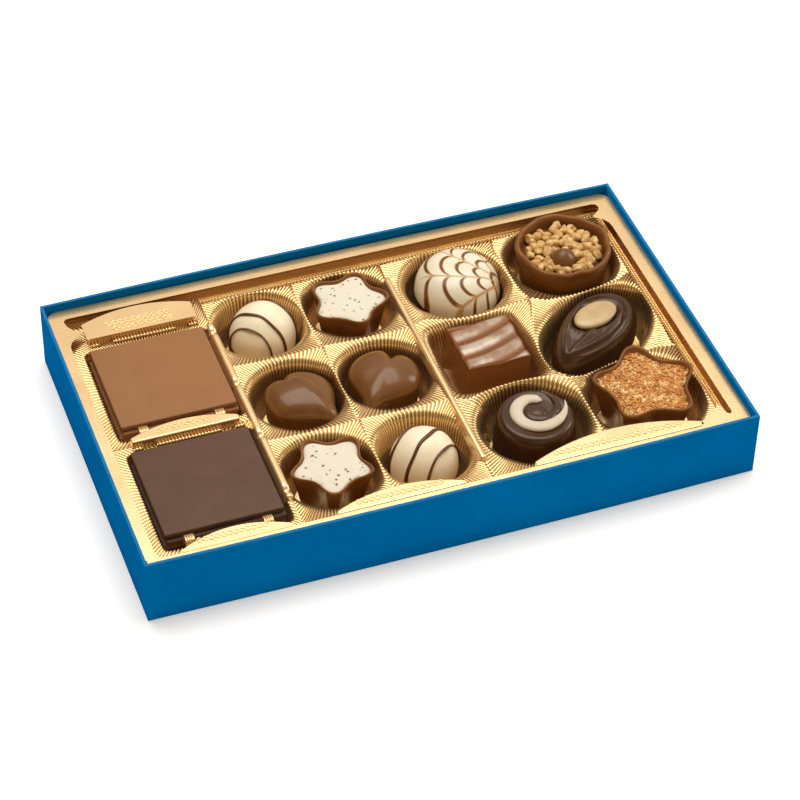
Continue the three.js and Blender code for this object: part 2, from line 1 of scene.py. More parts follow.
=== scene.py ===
# %% [markdown]
# # A box of chocolate pralines
#
# The object is an open cardboard box with a thin gold tray. Two stacks of thin chocolate
# squares lie in the wells on the left, and twelve pralines lie in cups of their own. The frame
# holds every piece as a plain solid at its real place. This lesson gives each piece its fine
# shape and its finish, one after the other, from the box inwards to the crumbs.

# %% Load the frame
import math

import bpy
import numpy as np
from mathutils import Matrix, Vector, noise


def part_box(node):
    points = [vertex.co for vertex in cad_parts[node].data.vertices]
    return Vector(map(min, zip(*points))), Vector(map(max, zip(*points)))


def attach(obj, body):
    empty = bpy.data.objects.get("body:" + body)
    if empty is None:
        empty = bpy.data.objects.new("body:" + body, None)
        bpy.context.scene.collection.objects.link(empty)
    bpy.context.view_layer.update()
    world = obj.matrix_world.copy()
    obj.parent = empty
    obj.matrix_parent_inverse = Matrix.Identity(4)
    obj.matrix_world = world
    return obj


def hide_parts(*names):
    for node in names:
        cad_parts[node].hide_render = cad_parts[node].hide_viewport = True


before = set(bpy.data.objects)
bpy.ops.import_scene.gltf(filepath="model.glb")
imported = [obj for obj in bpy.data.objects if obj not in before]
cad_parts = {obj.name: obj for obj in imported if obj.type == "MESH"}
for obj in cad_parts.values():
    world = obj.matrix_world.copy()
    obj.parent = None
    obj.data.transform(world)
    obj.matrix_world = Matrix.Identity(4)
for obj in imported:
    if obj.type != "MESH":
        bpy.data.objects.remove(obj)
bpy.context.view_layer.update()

MM = 0.001                      # the scene is in metres, the pieces are thought of in millimetres
print("nodes in the frame:", len(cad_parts))

# %% [markdown]
# The camera looks down on the box from the front left through a long lens, so that the long
# sides stay almost parallel. A camera can be turned with Euler angles, but three directions are
# easier to read: right, up and backwards, worked out from an azimuth, an elevation and a roll.

# %% Camera
AZIMUTH = math.radians(-20.7727)
ELEVATION = math.radians(43.1542)
ROLL = math.radians(1.3727)
CAMERA_PLACE = Vector((-0.245124, -0.653109, 0.660907))
LENS = 126.91


def camera_turn():
    """The camera's right, up and backward directions as the columns of a matrix."""
    back = Vector((math.sin(AZIMUTH) * math.cos(ELEVATION),
                   -math.cos(AZIMUTH) * math.cos(ELEVATION), math.sin(ELEVATION)))
    level_right = Vector((0, 0, 1)).cross(back).normalized()
    level_up = back.cross(level_right)
    right = level_right * math.cos(ROLL) + level_up * math.sin(ROLL)
    return Matrix((right, back.cross(right), back)).transposed().to_4x4()


camera = bpy.data.objects.new("camera", bpy.data.cameras.new("camera"))
bpy.context.scene.collection.objects.link(camera)
camera.data.lens = LENS
camera.data.sensor_width = 36
camera.matrix_world = Matrix.Translation(CAMERA_PLACE) @ camera_turn()
bpy.context.scene.camera = camera
print("camera at", tuple(round(c, 3) for c in CAMERA_PLACE))

# %% [markdown]
# Gold film shows nothing of its own: it shows what stands round it. So the light is one very
# large soft panel over the box, a warm one low in front that the far walls of the cups mirror,
# a smaller one at the right for the highlights on the glossy chocolate, and a world that is
# bright towards the back right and dim and warm elsewhere. The two sides of each rib then
# mirror different light, which even light from above can't do.

# %% Lights, world and floor
def soft_panel(name, place, aim, size, watts, tint=(1, 1, 1)):
    """A large area lamp at a place, in metres, that faces a point."""
    data = bpy.data.lights.new(name, "AREA")
    data.color = tint
    data.shape = "RECTANGLE"
    data.size, data.size_y = size
    data.energy = watts
    lamp = bpy.data.objects.new(name, data)
    away = Vector(place) - Vector(aim)
    lamp.matrix_world = Matrix.Translation(place) @ away.to_track_quat("Z", "Y").to_matrix().to_4x4()
    bpy.context.scene.collection.objects.link(lamp)


soft_panel("overhead", (0.0, 0.25, 0.9), (0, 0, 0), (0.9, 0.7), 7.2)
soft_panel("side", (0.75, 0.05, 0.4), (0, 0, 0), (0.25, 0.4), 1.5)
soft_panel("front", (-0.1, -0.95, 0.36), (0, 0, 0), (1.1, 0.3), 1.4, (1.0, 0.78, 0.5))


def soft_world(towards, stops):
    """A world that is brightest in one direction; stops are (cosine of the angle to it, light)."""
    world = bpy.data.worlds.new("studio")
    bpy.context.scene.world = world
    world.use_nodes = True
    nodes, links = world.node_tree.nodes, world.node_tree.links
    place = nodes.new("ShaderNodeTexCoord")
    facing = nodes.new("ShaderNodeVectorMath")
    facing.operation = "DOT_PRODUCT"
    facing.inputs[1].default_value = Vector(towards).normalized()
    ramp = nodes.new("ShaderNodeValToRGB")
    links.new(place.outputs["Generated"], facing.inputs[0])
    links.new(facing.outputs["Value"], ramp.inputs[0])
    for _ in stops[2:]:
        ramp.color_ramp.elements.new(0.5)
    for element, (cosine, light) in zip(ramp.color_ramp.elements, stops):
        element.position = cosine
        warm = 1 - light
        element.color = (light, light * (1 - 0.24 * warm), light * (1 - 0.62 * warm), 1)
    links.new(ramp.outputs[0], nodes["Background"].inputs["Color"])


soft_world((0.45, 0.35, 0.82), [(0.0, 0.26), (0.45, 0.37), (0.72, 0.64), (0.9, 0.82)])
bpy.context.scene.view_settings.view_transform = "Standard"

bpy.ops.object.select_all(action="DESELECT")
bpy.ops.mesh.primitive_plane_add(size=6, location=(0, 0, 0))
floor = bpy.context.object
floor.name = "floor"
floor_paint = bpy.data.materials.new("white_floor")
floor_paint.use_nodes = True
floor_shader = floor_paint.node_tree.nodes["Principled BSDF"]
floor_shader.inputs["Base Color"].default_value = (0.93, 0.93, 0.93, 1)
floor_shader.inputs["Roughness"].default_value = 0.95
floor_shader.inputs["Specular IOR Level"].default_value = 0.0
floor_shader.inputs["Emission Color"].default_value = (1, 1, 1, 1)
floor_shader.inputs["Emission Strength"].default_value = 0.26
floor.data.materials.append(floor_paint)

# %% [markdown]
# Most pieces start as a grid primitive that is laid over its form, like dough over a mould: a
# rule says where each point of the grid goes. A grid can be wrapped round an axis too. Then its
# two ends meet in a seam and its poles shrink to a point, so doubles are merged afterwards. The
# helpers here do these steps, and one more gives a finished piece its material and its body and hides
# the nodes that it stands for.

# %% Helpers for shaping
def deselect():
    bpy.ops.object.select_all(action="DESELECT")


def pick(piece):
    """Selects one piece alone and makes it active."""
    deselect()
    piece.select_set(True)
    bpy.context.view_layer.objects.active = piece
    return piece


def points_of(piece):
    """The piece's points as rows of x, y, z in millimetres."""
    flat = np.zeros(len(piece.data.vertices) * 3)
    piece.data.vertices.foreach_get("co", flat)
    return flat.reshape(-1, 3) / MM


def put_points(piece, points):
    piece.data.vertices.foreach_set("co", (np.asarray(points) * MM).ravel())
    piece.data.update()


def edit(piece, *steps):
    """Runs edit-mode steps on everything in the piece."""
    pick(piece)
    bpy.ops.object.mode_set(mode="EDIT")
    bpy.ops.mesh.select_all(action="SELECT")
    for step in steps:
        step()
    bpy.ops.object.mode_set(mode="OBJECT")
    return piece


def close_seams():
    bpy.ops.mesh.remove_doubles(threshold=0.004 * MM)


def face_outwards():
    bpy.ops.mesh.normals_make_consistent(inside=False)


def sheet(name, columns, rows, shape):
    """A grid whose point at (u, v), each from 0 to 1, goes to shape(u, v) in millimetres."""
    deselect()
    bpy.ops.mesh.primitive_grid_add(x_subdivisions=columns, y_subdivisions=rows, size=1)
    piece = bpy.context.object
    piece.name = piece.data.name = name
    unit = points_of(piece) * MM + 0.5
    u, v = unit[:, 0], unit[:, 1]
    put_points(piece, np.stack(np.broadcast_arrays(*shape(u, v)), axis=1))
    return piece


def wrapped(name, columns, rows, shape):
    """A sheet that closes round an axis: seam and poles merged, faces outwards, smooth."""
    piece = edit(sheet(name, columns, rows, shape), close_seams, face_outwards)
    return smooth(piece)


def smooth(piece, angle=180):
    pick(piece)
    bpy.ops.object.shade_smooth_by_angle(angle=math.radians(angle))
    return piece


def join(name, pieces):
    """Joins pieces into the first one."""
    deselect()
    for piece in pieces:
        piece.select_set(True)
    bpy.context.view_layer.objects.active = pieces[0]
    bpy.ops.object.join()
    pieces[0].name = pieces[0].data.name = name
    return pieces[0]


def apply(piece, kind, **settings):
    """Adds a modifier with its settings and applies it."""
    pick(piece)
    modifier = piece.modifiers.new(kind.lower(), kind)
    for key, value in settings.items():
        setattr(modifier, key, value)
    bpy.ops.object.modifier_apply(modifier=modifier.name)
    return piece


def finish_piece(piece, finish, slot, *nodes):
    """Gives a piece its material and its body and hides the nodes that it stands for; slot is not
    used.
    """
    piece.data.materials.clear()
    piece.data.materials.append(finish)
    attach(piece, "root")
    if nodes:
        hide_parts(*nodes)
    faces = sum(len(p.vertices) - 2 for p in piece.data.polygons)
    print(f"{piece.name}: {faces} triangles")
    return piece


def eased(points, times=3):
    """A line of points with its corners cut off, a few times over."""
    line = np.array(points, float)
    for _ in range(times):
        near = 0.75 * line[:-1] + 0.25 * line[1:]
        far = 0.25 * line[:-1] + 0.75 * line[1:]
        cut = np.stack([near, far], axis=1).reshape(-1, line.shape[1])
        line = np.vstack([line[:1], cut, line[-1:]])
    return line


def along(line, t):
    """The points of a line at the shares t of its length."""
    steps = np.hypot(*np.diff(line[:, :2], axis=0).T)
    length = np.concatenate([[0], np.cumsum(steps)])
    return [np.interp(t * length[-1], length, line[:, k]) for k in range(line.shape[1])]


def bell(x, width):
    """A smooth bump of height 1 at x = 0."""
    return np.exp(-(x / width) ** 2)


def step_up(x, low, high):
    """0 below low, 1 above high, smooth between."""
    t = np.clip((x - low) / (high - low), 0, 1)
    return t * t * (3 - 2 * t)


def ripple(x, y, z, size, seed=0):
    """Smooth noise from about -1 to 1 at each point; size is that of its lumps."""
    rows = np.stack(np.broadcast_arrays(x, y, z), axis=1) / size + seed
    return np.array([noise.noise(row) for row in rows])


def keep(piece, name, values):
    """Stores one number a point, for a shader to read."""
    attribute = piece.data.attributes.new(name, "FLOAT", "POINT")
    attribute.data.foreach_set("value", np.asarray(values, np.float32))


print("helpers ready")

# %% [markdown]
# Every finish is a Principled shader whose colour, roughness and bump come from noise in Object
# coordinates, which stay true to size on every piece. One helper sets the parts that all of them
# share; each finish then says what is its own.

# %% Helper for finishes
def linear(red, green, blue):
    """A colour from 0 to 255 a channel, as the shader's linear colour."""
    def one(c):
        c /= 255
        return c / 12.92 if c <= 0.04045 else ((c + 0.055) / 1.055) ** 2.4
    return one(red), one(green), one(blue), 1.0


class Finish:
    """A material under construction: nodes are added one at a time and wired to the shader."""

    def __init__(self, name, colour, roughness, **sockets):
        self.material = bpy.data.materials.new(name)
        self.material.use_nodes = True
        self.tree = self.material.node_tree
        self.shader = self.tree.nodes["Principled BSDF"]
        self.shader.inputs["Base Color"].default_value = colour
        self.shader.inputs["Roughness"].default_value = roughness
        for socket, value in sockets.items():
            self.shader.inputs[socket.replace("_", " ")].default_value = value
        self.place = self.node("TexCoord").outputs["Object"]

    def node(self, kind, **inputs):
        made = self.tree.nodes.new("ShaderNode" + kind)
        for key, value in inputs.items():
            self.wire(value, made.inputs[key.replace("_", " ")])
        return made

    def wire(self, value, socket):
        if isinstance(value, bpy.types.NodeSocket):
            self.tree.links.new(value, socket)
        else:
            socket.default_value = value

    def grain(self, per_mm, detail=3.0, seed=0.0):
        """Noise from 0 to 1 with so many lumps a millimetre."""
        made = self.tree.nodes.new("ShaderNodeTexNoise")
        made.noise_dimensions = "4D" if seed else "3D"
        if seed:
            made.inputs["W"].default_value = seed
        self.wire(self.place, made.inputs["Vector"])
        made.inputs["Scale"].default_value = per_mm / MM
        made.inputs["Detail"].default_value = detail
        return made.outputs["Fac"]

    def cells(self, per_mm, output="Distance"):
        """Random cells, as the distance to the nearest middle or as one colour a cell."""
        made = self.tree.nodes.new("ShaderNodeTexVoronoi")
        self.wire(self.place, made.inputs["Vector"])
        made.inputs["Scale"].default_value = per_mm / MM
        return made.outputs[output]

    def ramp(self, value, stops):
        """Turns a value into colours; stops are (position, colour)."""
        made = self.tree.nodes.new("ShaderNodeValToRGB")
        self.wire(value, made.inputs[0])
        elements = made.color_ramp.elements
        while len(elements) < len(stops):
            elements.new(0.5)
        for element, (position, colour) in zip(elements, stops):
            element.position = position
            element.color = colour
        return made.outputs["Color"]

    def span(self, value, low, high, to_low=0.0, to_high=1.0):
        """Maps low..high to another range and holds it there."""
        made = self.node("MapRange", Value=value, From_Min=low, From_Max=high, To_Min=to_low,
                         To_Max=to_high)
        made.clamp = True
        return made.outputs["Result"]

    def mix(self, share, one, other):
        """One colour where share is 0, the other where it is 1."""
        made = self.tree.nodes.new("ShaderNodeMix")
        made.data_type = "RGBA"
        self.wire(share, made.inputs[0])
        self.wire(one, made.inputs[6])
        self.wire(other, made.inputs[7])
        return made.outputs[2]

    def math(self, operation, one, other=0.0):
        made = self.tree.nodes.new("ShaderNodeMath")
        made.operation = operation
        self.wire(one, made.inputs[0])
        self.wire(other, made.inputs[1])
        return made.outputs[0]

    def height(self):
        """Height above the floor, in metres."""
        made = self.node("SeparateXYZ")
        self.wire(self.place, made.inputs[0])
        return made.outputs["Z"]

    def attribute(self, name):
        """The numbers that a piece stores for its points."""
        made = self.tree.nodes.new("ShaderNodeAttribute")
        made.attribute_name = name
        return made.outputs["Fac"]

    def colour(self, value):
        self.wire(value, self.shader.inputs["Base Color"])

    def rough(self, value):
        self.wire(value, self.shader.inputs["Roughness"])

    def bump(self, height, depth_mm, strength=1.0):
        """Adds relief; several calls stack on each other."""
        made = self.node("Bump", Height=height)
        made.inputs["Distance"].default_value = depth_mm * MM
        made.inputs["Strength"].default_value = strength
        last = self.shader.inputs["Normal"]
        if last.is_linked:
            self.tree.links.new(last.links[0].from_socket, made.inputs["Normal"])
        self.tree.links.new(made.outputs[0], last)

    def soften(self, weight, *reach_mm):
        """Lets light into the surface, as deep as the reach of red, green and blue."""
        self.shader.inputs["Subsurface Weight"].default_value = weight
        self.shader.inputs["Subsurface Radius"].default_value = [reach * MM for reach in reach_mm]
        self.shader.inputs["Subsurface Scale"].default_value = 1.0


print("finish helper ready")

# %% [markdown]
# The gold film is metal on plastic: a yellow metal with low roughness, crossed by faint waves
# from the forming. The waves are bump, because they are far thinner than the film. Ribbed film
# has painted shade in its grooves; the ribbed pieces store how much painted shade each point gets, by
# how deep in a groove it lies.

# %% Gold film
def gold_film(name, ribbed=False):
    finish = Finish(name, linear(246, 208, 154), 0.2, Metallic=0.85)
    if ribbed:
        # painted shade: the rib grooves are coloured darker than the crests, as the ribs would shade
        # each other
        crest, groove_shade = linear(255, 220, 160), linear(148, 98, 32)
        finish.colour(finish.mix(finish.attribute("groove_shade"), crest, groove_shade))
    cloud = finish.grain(0.05)
    finish.rough(finish.span(cloud, 0.3, 0.7, 0.2, 0.28))
    finish.bump(finish.grain(0.35, 2.0), 0.03, 0.35)
    finish.bump(finish.grain(2.0, 2.0), 0.004, 0.25)
    return finish.material


gold = gold_film("gold_film")
ribbed_gold = gold_film("ribbed_gold_film", ribbed=True)
print("finishes:", gold.name, ribbed_gold.name)

# %% [markdown]
# The box is card under printed paper. The paper is matt with a fine fibre, and where it is
# folded over the top edge the print is rubbed a little lighter. Height alone tells that edge.

# %% Blue paper
BOX_TOP = 25.0


def blue_paper():
    finish = Finish("blue_paper", linear(0, 95, 150), 0.55, Specular_IOR_Level=0.0)
    print_tone = finish.mix(finish.span(finish.grain(0.04), 0.3, 0.7),
                            linear(0, 98, 163), linear(0, 106, 172))
    edge = finish.span(finish.height(), (BOX_TOP - 0.45) * MM, (BOX_TOP - 0.1) * MM)
    rubbed = finish.math("MULTIPLY", edge, finish.span(finish.grain(0.5), 0.3, 0.6, 0.45, 0.9))
    finish.colour(finish.mix(rubbed, print_tone, linear(40, 118, 170)))
    finish.rough(finish.span(finish.grain(1.5), 0.3, 0.7, 0.48, 0.62))
    finish.bump(finish.grain(4.0, 6.0), 0.02, 0.5)
    return finish.material


blue = blue_paper()
print("finish:", blue.name)

# %% [markdown]
# Chocolate is satin: cocoa butter gives a soft clear skin, and tiny marks of the mould and a
# breath of dust break it. Milk, dark and white chocolate differ in colour, so one function makes
# them all from a light and a deep tone.

# %% Chocolate
COCOA_SHINE = (1.0, 0.8, 0.58, 1)
COCOA_BUTTER = (2, 1.2, 0.7)    # how deep red, green and blue light get into pale chocolate


def chocolate(name, light, deep, roughness=0.38, subsurface=0.0, sheen=0.25, coat=0.15):
    finish = Finish(name, light, roughness, Specular_IOR_Level=sheen, Specular_Tint=COCOA_SHINE,
                    Coat_Weight=coat, Coat_Roughness=0.14)
    tone = finish.span(finish.grain(0.12, 4.0), 0.35, 0.7)
    finish.colour(finish.mix(tone, light, deep))
    finish.rough(finish.span(finish.grain(0.6, 5.0), 0.3, 0.75, roughness - 0.06, roughness + 0.1))
    finish.bump(finish.grain(0.25, 2.0), 0.12, 0.35)
    finish.bump(finish.grain(3.5, 4.0), 0.012, 0.4)
    if subsurface:
        finish.soften(subsurface, *COCOA_BUTTER)
    return finish.material


milk = chocolate("milk_chocolate", linear(130, 82, 38), linear(114, 68, 28))
glossy_milk = chocolate("glossy_milk", linear(114, 72, 32), linear(100, 60, 24), 0.32, coat=0.4)
milk_plate_finish = chocolate("milk_plate", linear(149, 105, 70), linear(145, 101, 66), 0.5,
                              sheen=0.1, coat=0.03)
dark = chocolate("dark_chocolate", linear(66, 38, 20), linear(54, 30, 14), 0.34, coat=0.35)
dark_plate_finish = chocolate("dark_plate", linear(96, 72, 60), linear(90, 67, 56), 0.5,
                              sheen=0.1, coat=0.03)
white = chocolate("white_chocolate", linear(242, 230, 202), linear(236, 220, 188), 0.36,
                  subsurface=0.25, sheen=0.3)
band_white = chocolate("white_band", linear(208, 196, 176), linear(198, 184, 162), 0.4,
                       subsurface=0.2, coat=0.1)
print("chocolates:", milk.name, glossy_milk.name, dark.name, white.name, band_white.name)

# %% [markdown]
# The box itself has the right shape already, but as loose triangles with knife-sharp edges. The
# points of its copy are merged, and a narrow bevel gives the card the soft fold that catches the
# light along the top edge.

# %% The cardboard box
def copy_of(node, name):
    """A merged copy of a frame node that may be shaped further."""
    piece = bpy.data.objects.new(name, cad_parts[node].data.copy())
    bpy.context.scene.collection.objects.link(piece)
    return edit(piece, close_seams)


box = copy_of("box", "cardboard_box")
apply(box, "BEVEL", width=0.22 * MM, segments=3, limit_method="ANGLE", angle_limit=math.radians(40))
smooth(box, 35)
finish_piece(box, blue, "blue_board", "box")

# %% [markdown]
# The tray is one thin film, pressed over a mould. Round every cup the film has fine ribs that
# point to the middle of the cup, run over its rounded lip and fade a little way down its wall.
# Where the ribs of two cups meet they form a ridge with a herringbone of V shapes.
#
# A displacement texture would blur these ribs, so the grid itself follows them: each column of a
# cup's grid is a spoke from the middle of the cup to a point on the ridge, with four columns to a
# rib. Neighbours share their ridge points, and so the film has no gaps.

# %% Sizes of the tray
RIM_TOP = 22.0
FIELD = dict(left=-99.7, right=98.7, front=-59.7, back=58.5)
FOOT_OF_WALL = 1.6              # width of the ribbed strip at the foot of the back and right walls
WALL_FOOT = 17.0                # height of the film there
CUP_FLOOR = 1.9
LIP = 17.0
CORNER_TOP = 18.6               # height where the films of four cups meet
CORNER_AT_WALL = 17.2           # the same at the foot of the back wall
ROWS = (40.4, 2.4, -35.6)
SMALL_COLUMNS = (-34.4, -1.8)
SMALL_EDGES = (-50.9, -18.1, 14.3)
ROW_EDGES = (FIELD["back"] - FOOT_OF_WALL, 21.4, -16.6, FIELD["front"])
RIB_PITCH = 1.52
RIB_HEIGHT = 0.28
SAMPLES = 4                     # columns of the grid to a rib
BOW = 9.0                       # how far a ridge between two cups may bow to either side


class Cup:
    """A hollow in the tray: its middle and how far its lip is from there in any direction."""

    def __init__(self, x, y, radius=None, ellipse=None, rectangle=None, draft=2.2):
        self.x, self.y, self.draft = x, y, draft
        self.radius, self.ellipse, self.rectangle = radius, ellipse, rectangle

    def lip(self, angle):
        if self.radius:
            return np.full_like(angle, self.radius)
        if self.ellipse:
            length, width, turn = self.ellipse
            return 1 / np.hypot(np.cos(angle - turn) / length, np.sin(angle - turn) / width)
        half_x, half_y, power = self.rectangle
        c, s = np.abs(np.cos(angle)) / half_x, np.abs(np.sin(angle)) / half_y
        return (c ** power + s ** power) ** (-1 / power)

    def outside(self, x, y):
        """How far a point lies outside the lip."""
        return np.hypot(x - self.x, y - self.y) - self.lip(np.arctan2(y - self.y, x - self.x))


def ridge_height(distance):
    """The film climbs away from a lip."""
    return LIP + 0.5 + 0.14 * np.maximum(distance, 0)


def ridge(start, end, cups=()):
    """Rib points (x, y, z) from start to end: straight, or where the films of two cups meet."""
    start, end = np.array(start, float), np.array(end, float)
    length = np.hypot(*(end - start)[:2])
    count = max(2, round(length / RIB_PITCH)) * SAMPLES
    t = np.linspace(0, 1, count + 1)
    x, y, z = (start[k] + (end[k] - start[k]) * t for k in range(3))
    across = np.array([start[1] - end[1], end[0] - start[0]]) / length

    def nearer_the_second(shift):
        at = x + shift * across[0], y + shift * across[1]
        return cups[0].outside(*at) > cups[1].outside(*at)

    if len(cups) == 2:
        low, high = np.full_like(t, -BOW), np.full_like(t, BOW)
        beyond = nearer_the_second(high)
        for _ in range(24):
            middle = (low + high) / 2
            far = nearer_the_second(middle) == beyond
            low, high = np.where(far, low, middle), np.where(far, middle, high)
        bow = low * step_up(t, 0, 0.14) * step_up(1 - t, 0, 0.14)
        x, y = x + bow * across[0], y + bow * across[1]
    if cups:
        rule = ridge_height(np.min([cup.outside(x, y) for cup in cups], axis=0))
        z = rule + (start[2] - rule[0]) * (1 - t) + (end[2] - rule[-1]) * t
    return np.stack([x, y, z], axis=1)


def ring(*parts):
    """Joins ridges end to end into a closed line round a cup, turning them as needed."""
    line = parts[0]
    if min(np.abs(line[-1] - end).sum() for end in (parts[1][0], parts[1][-1])) > 1e-6:
        line = line[::-1]
    for part in parts[1:]:
        turned = part if np.abs(line[-1] - part[0]).sum() < 1e-6 else part[::-1]
        line = np.vstack([line, turned[1:]])
    return line


def cup_film(name, cup, line, floor=CUP_FLOOR, lip_height=LIP, turn=(3.2, 4.2), fade=5.0):
    """The film of one cup: floor, wall, rounded lip and ribbed slope up to the ridge line.

    turn is the width and height of the rounded lip, and fade is how far its ribs run down.
    """
    x, y, z = line.T
    angle = np.arctan2(y - cup.y, x - cup.x)
    reach = np.hypot(x - cup.x, y - cup.y)
    lip = np.minimum(cup.lip(angle), reach - 0.7)
    over = np.minimum(turn[0], 0.85 * (reach - lip))
    wave = np.cos(2 * np.pi * np.arange(len(x)) / SAMPLES)
    foot, wall_top, draft = floor + 1.0, lip_height - turn[1], cup.draft
    # each row: distance out from the lip, height, and how far a rib pushes sideways and up
    rows = [(-lip, floor, 0, 0), (-draft - 1.0, floor, 0, 0), (-draft - 0.25, floor + 0.25, 0, 0)]
    ribbed_from = wall_top - fade
    for height, rib in ((foot, 0), (ribbed_from, 0), (wall_top - fade / 2, 0.5), (wall_top, 0.9)):
        rows.append((-draft * (wall_top - height) / (wall_top - foot), height, rib, 0))
    lift = z - lip_height
    for a in (0.3, 0.65, 1.0, 1.3):
        out = over * (1 - math.cos(a))
        rise = wall_top + turn[1] * math.sin(a) + lift * out / (reach - lip)
        rows.append((out, rise, math.cos(a), math.sin(a)))
    for share, rib in ((0.0, 1), (0.2, 1), (0.4, 1), (0.6, 0.9), (0.8, 0.75), (1.0, 0.5)):
        out = over + (reach - lip - over) * share
        rows.append((out, lip_height + lift * out / (reach - lip), 0, rib))
    table, grooves = [], []
    for out, height, across, up in rows:
        r = lip + out - RIB_HEIGHT * wave * across
        point = (cup.x + r * np.cos(angle), cup.y + r * np.sin(angle),
                 height + RIB_HEIGHT * wave * up)
        table.append(np.stack(np.broadcast_arrays(*point), axis=1))
        # share of painted shade: full at the bottom of a rib groove, none on a crest or where the ribs
        # fade
        grooves.append((0.5 - 0.5 * wave) * min(1, 1.5 * math.hypot(across, up)))
    table, grooves = np.array(table), np.array(grooves)
    columns, steps = len(x) - 1, len(rows) - 1
    depths = []

    def place(u, v):
        i, j = np.rint(u * columns).astype(int), np.rint(v * steps).astype(int)
        depths.append(grooves[j, i])
        return table[j, i].T
    film = sheet(name, columns, steps, place)
    keep(film, "groove_shade", depths[0])
    return film


print("ribs on a side of a small cup:", round((ROWS[0] - ROWS[1]) / RIB_PITCH))

# %% [markdown]
# The small cups stand in two columns of three. Their ridges are worked out first, once for the
# two cups that share one, and each cup's film is then laid inside its ring of four ridges.

# %% Cups of the small pralines
def film_block(name, films, outward):
    """Joins cup films, closes their seams and gives the film its thickness on the hidden side."""
    piece = edit(join(name, films), close_seams, face_outwards)
    top = max(piece.data.polygons, key=lambda p: abs(p.normal.z) * p.center.z)
    if top.normal.z < 0:
        edit(piece, bpy.ops.mesh.flip_normals)
    apply(piece, "SOLIDIFY", thickness=0.3 * MM, offset=-1, use_even_offset=False)
    finish_piece(smooth(piece), ribbed_gold, "gold_film", *outward)


def corner(i, j):
    """A corner of the small cups' grid, with its height."""
    return SMALL_EDGES[i], ROW_EDGES[j], CORNER_TOP if j else CORNER_AT_WALL


small = [[Cup(x, y, radius=15.3) for y in ROWS] for x in SMALL_COLUMNS]
small[0][1].x += 1.3            # this cup stands a little nearer to its neighbour
upright = {(i, j): ridge(corner(i, j), corner(i, j + 1), [small[min(i, 1)][j]])
           for i in range(3) for j in range(3)}
level = {(i, j): ridge(corner(i, j), corner(i + 1, j), [] if j == 0 else [small[i][min(j, 2)]])
         for i in range(2) for j in range(4)}
for i, side in enumerate(("left", "right")):
    films = []
    for j in range(3):
        line = ring(upright[i, j], level[i, j + 1], upright[i + 1, j], level[i, j])
        films.append(cup_film(f"cup_{side}_{j}", small[i][j], line))
    film_block(f"tray_small_{side}", films, ["tray"] if i == 0 else [])

# %% [markdown]
# The six large cups differ in form and size, so their ridges bow: each point of a ridge is
# moved sideways until it is as far from the one lip as from the other.

# %% Cups of the large pralines
EDGE_RIGHT = FIELD["right"] - FOOT_OF_WALL
oval_cup = Cup(37.0, 39.6, radius=17.4)
nut_cup_hollow = Cup(77.2, 40.0, radius=18.7)
square_cup = Cup(33.8, 1.5, rectangle=(15.3, 16.0, 9), draft=3.6)
almond_cup = Cup(74.8, 0.9, ellipse=(25.0, 15.4, math.radians(36.5)))
swirl_cup = Cup(37.0, -35.6, radius=17.8)
star_hollow = Cup(77.3, -35.4, radius=19.0)

BACK_LEFT, LEFT_BACK, LEFT_FRONT, FRONT_LEFT = (corner(2, j) for j in range(4))
BACK_MIDDLE, MIDDLE_BACK = (57.0, ROW_EDGES[0], WALL_FOOT), (57.2, 21.4, 18.9)
MIDDLE_FRONT, FRONT_MIDDLE = (55.0, -20.4, 18.9), (57.0, FIELD["front"], CORNER_TOP)
BACK_RIGHT, RIGHT_BACK = (EDGE_RIGHT, ROW_EDGES[0], WALL_FOOT), (EDGE_RIGHT, 25.0, WALL_FOOT)
RIGHT_FRONT, FRONT_RIGHT = (EDGE_RIGHT, -15.0, WALL_FOOT), (EDGE_RIGHT, FIELD["front"], WALL_FOOT)

between = {
    "oval|nut": ridge(BACK_MIDDLE, MIDDLE_BACK, (oval_cup, nut_cup_hollow)),
    "oval|square": ridge(LEFT_BACK, MIDDLE_BACK, (oval_cup, square_cup)),
    "nut|almond": ridge(MIDDLE_BACK, RIGHT_BACK, (nut_cup_hollow, almond_cup)),
    "square|almond": ridge(MIDDLE_BACK, MIDDLE_FRONT, (square_cup, almond_cup)),
    "square|swirl": ridge(LEFT_FRONT, MIDDLE_FRONT, (square_cup, swirl_cup)),
    "almond|star": ridge(MIDDLE_FRONT, RIGHT_FRONT, (almond_cup, star_hollow)),
    "swirl|star": ridge(MIDDLE_FRONT, FRONT_MIDDLE, (swirl_cup, star_hollow)),
}
large = {
    "oval": (oval_cup, ring(ridge(BACK_LEFT, LEFT_BACK, [oval_cup]), between["oval|square"],
                            between["oval|nut"], ridge(BACK_MIDDLE, BACK_LEFT))),
    "nut": (nut_cup_hollow, ring(between["oval|nut"], between["nut|almond"],
                                 ridge(RIGHT_BACK, BACK_RIGHT), ridge(BACK_RIGHT, BACK_MIDDLE))),
    "square": (square_cup, ring(ridge(LEFT_BACK, LEFT_FRONT, [square_cup]), between["square|swirl"],
                                between["square|almond"], between["oval|square"])),
    "almond": (almond_cup, ring(between["square|almond"], between["almond|star"],
                                ridge(RIGHT_FRONT, RIGHT_BACK), between["nut|almond"])),
    "swirl": (swirl_cup, ring(ridge(LEFT_FRONT, FRONT_LEFT, [swirl_cup]),
                              ridge(FRONT_LEFT, FRONT_MIDDLE, [swirl_cup]), between["swirl|star"],
                              between["square|swirl"])),
    "star": (star_hollow, ring(between["swirl|star"], ridge(FRONT_MIDDLE, FRONT_RIGHT, [star_hollow]),
                               ridge(FRONT_RIGHT, RIGHT_FRONT), between["almond|star"])),
}
for name, members in (("left", ("oval", "square", "swirl")), ("right", ("nut", "almond", "star"))):
    films = [cup_film("cup_" + member, *large[member]) for member in members]
    film_block(f"tray_large_{name}", films, [])

# %% [markdown]
# The chocolate squares lie in two wells with smooth walls. The film between the wells is level
# and carries the same ribs, so the same helper makes it, with a higher lip and a higher floor.

